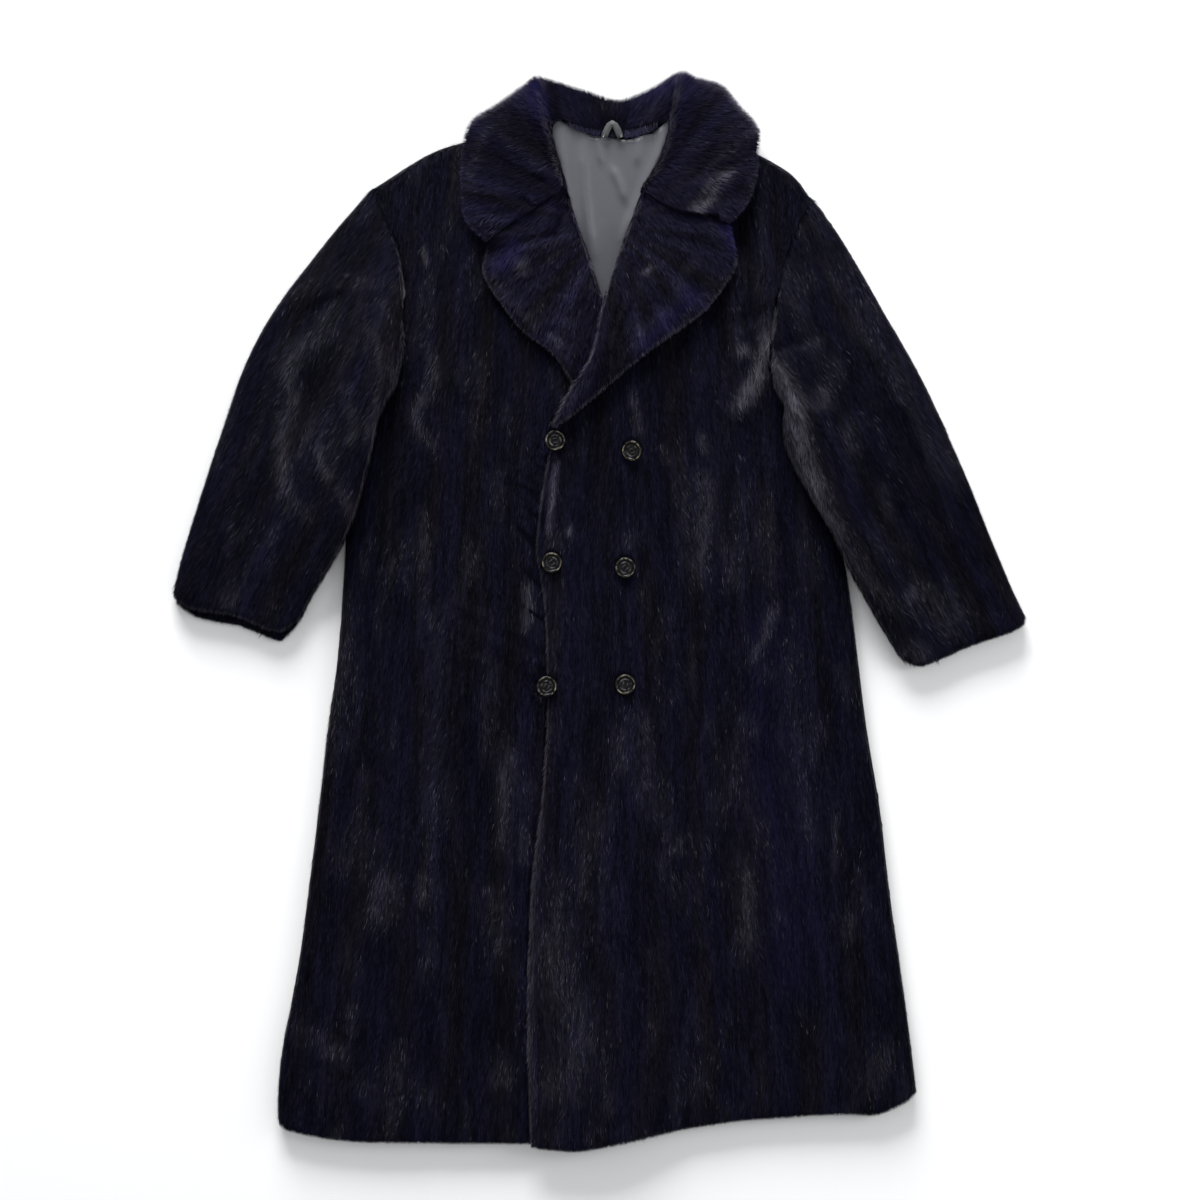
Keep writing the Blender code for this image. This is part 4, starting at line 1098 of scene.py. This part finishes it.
def turned_button():
    """One button in its own millimetres, with four holes through it: points and triangles."""
    profile = bpy.data.meshes.new("button_profile")
    profile.from_pydata([(r, 0, z) for r, z in BUTTON_PROFILE],
                        [(i, i + 1) for i in range(len(BUTTON_PROFILE) - 1)], [])
    turned = new_object("button_turned", profile, None)
    screw = turned.modifiers.new("turn", "SCREW")
    screw.steps = screw.render_steps = BUTTON_SIDES
    screw.use_merge_vertices = True
    screw.merge_threshold = 0.001
    tools = []
    bottom, top = HOLE_RUN
    for x, y in ((1, 1), (-1, 1), (-1, -1), (1, -1)):
        x, y = x * HOLE_OFFSET, y * HOLE_OFFSET
        p, t = tube([(x, y, bottom), (x, y + 0.01, top)], round_section(HOLE_RADIUS, HOLE_SIDES), np.ones(2))
        tool = new_object("hole", mesh_of("hole", p / MM, t, False), None)
        cut = turned.modifiers.new("cut", "BOOLEAN")
        cut.operation, cut.solver, cut.object = "DIFFERENCE", "EXACT", tool
        tools.append(tool)
    bpy.context.view_layer.update()
    mesh = bpy.data.meshes.new_from_object(turned.evaluated_get(bpy.context.evaluated_depsgraph_get()))
    p, t = read_mesh(mesh)
    for o in tools + [turned]:
        bpy.data.objects.remove(o)
    return p * MM, t


def horn_tones(p):
    """The horn's tone at each point, with painted highlights on the rim's crest and on the ring."""
    radius, turn = np.hypot(p[:, 0], p[:, 1]), np.arctan2(p[:, 1], p[:, 0])
    tone = np.ones((len(p), 4))
    tone[:, :3] = HORN
    rim, ring = ((np.abs(radius - r) < CREST_HALF) & (p[:, 2] > z) for r, z in (RIM_CREST, RING_CREST))
    # painted highlights, brighter in arcs round the rim's crest and the ring
    tone[rim, :3] = np.array(HORN_RIM_HIGHLIGHT) * (0.15 + 0.85 * np.sin(1.5 * turn[rim] + 0.6) ** 2)[:, None]
    tone[ring, :3] = np.array(HORN_RING_HIGHLIGHT) * (0.20 + 0.80 * np.cos(turn[ring] - 0.7) ** 2)[:, None]
    return tone


def thread_line(y):
    """One stitch from hole to hole, sagging towards its neighbour."""
    hole = HOLE_OFFSET
    return np.array([(-hole - 0.2, y, 1.2), (-hole, y, 2.9), (-1.4, y * 0.95, 3.7),
                     (1.4, y * 1.05, 3.7), (hole, y, 2.9), (hole + 0.2, y, 1.2)])


def make_buttons(horn, thread):
    p, t = turned_button()
    tones = horn_tones(p)
    threads = []
    for k, (place, tilt) in enumerate(zip(button_places(), BUTTON_TILTS)):
        turn = Matrix.Rotation(math.radians(BUTTON_TURN * (k + 1)), 3, "Z")
        spin = np.array(turn @ Matrix.Rotation(math.radians(tilt), 3, "Y"))
        q = p @ spin.T
        shift = np.array(place) - (q.min(0) + q.max(0)) / 2
        name = f"button_{k + 1}_horn"
        mesh = mesh_of(name, q + shift, t)
        mesh.set_sharp_from_angle(angle=math.radians(SHARP))
        paint(mesh, tones)
        o = new_object(name, mesh, horn)
        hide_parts(f"button_{k + 1}")
        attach(o, "root")
        for y in (-HOLE_OFFSET, HOLE_OFFSET):
            line = thread_line(y)
            q, s = tube(line, round_section(THREAD_RADIUS), np.ones(len(line)))
            threads.append((q @ spin.T + shift, s))
    o = new_object("button_threads", mesh_of("button_threads", *join(threads)), thread)
    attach(o, "root")


def make_camera():
    camera = bpy.data.cameras.new("camera")
    camera.lens = LENS
    camera.sensor_width = SENSOR
    camera.clip_end = CLIP_END
    o = bpy.data.objects.new("camera", camera)
    bpy.context.scene.collection.objects.link(o)
    height = VIEW_WIDTH * LENS / SENSOR + VIEW_LEVEL
    o.location = (VIEW_CENTRE[0] * MM, VIEW_CENTRE[1] * MM, height * MM)
    bpy.context.scene.camera = o


def make_light(name, place, size, power):
    light = bpy.data.lights.new(name, "AREA")
    light.shape = "RECTANGLE"
    light.size, light.size_y = size
    light.energy = power
    o = bpy.data.objects.new(name, light)
    bpy.context.scene.collection.objects.link(o)
    o.location = place
    o.rotation_euler = (Vector((0, 0, 0)) - Vector(place)).to_track_quat("-Z", "Y").to_euler()


def make_stage(material):
    world = bpy.data.worlds.new("world")
    bpy.context.scene.world = world
    world.use_nodes = True
    background = world.node_tree.nodes["Background"]
    background.inputs["Color"].default_value = SKY
    background.inputs["Strength"].default_value = SKY_STRENGTH
    make_light("key", *KEY_LIGHT)
    make_light("side", *SIDE_LIGHT)
    corners = [(x * FLOOR_HALF, y * FLOOR_HALF, 0) for x, y in ((-1, -1), (1, -1), (1, 1), (-1, 1))]
    mesh = bpy.data.meshes.new("floor")
    mesh.from_pydata(corners, [], [(0, 1, 2, 3)])
    floor = new_object("floor", mesh, material)
    bpy.context.scene.view_settings.view_transform = "Standard"


def main():
    materials = {
        "skin": skin_material(),
        "fur": hair_material("fur", 0.5, 0.02),
        "fur_collar": hair_material("fur_collar", 0.5, 0.025),
    }
    thread, _ = noise_material("thread", THREAD, 0.7, scale=3000)
    make_camera()
    make_fur(materials)
    make_lining(satin_material("satin", SATIN))
    make_hanger_loop(satin_material("satin_ribbon", RIBBON_SATIN), thread)
    make_buttons(horn_material(), thread)
    floor, _ = noise_material("floor", FLOOR, 0.9, scale=3)
    make_stage(floor)


main()
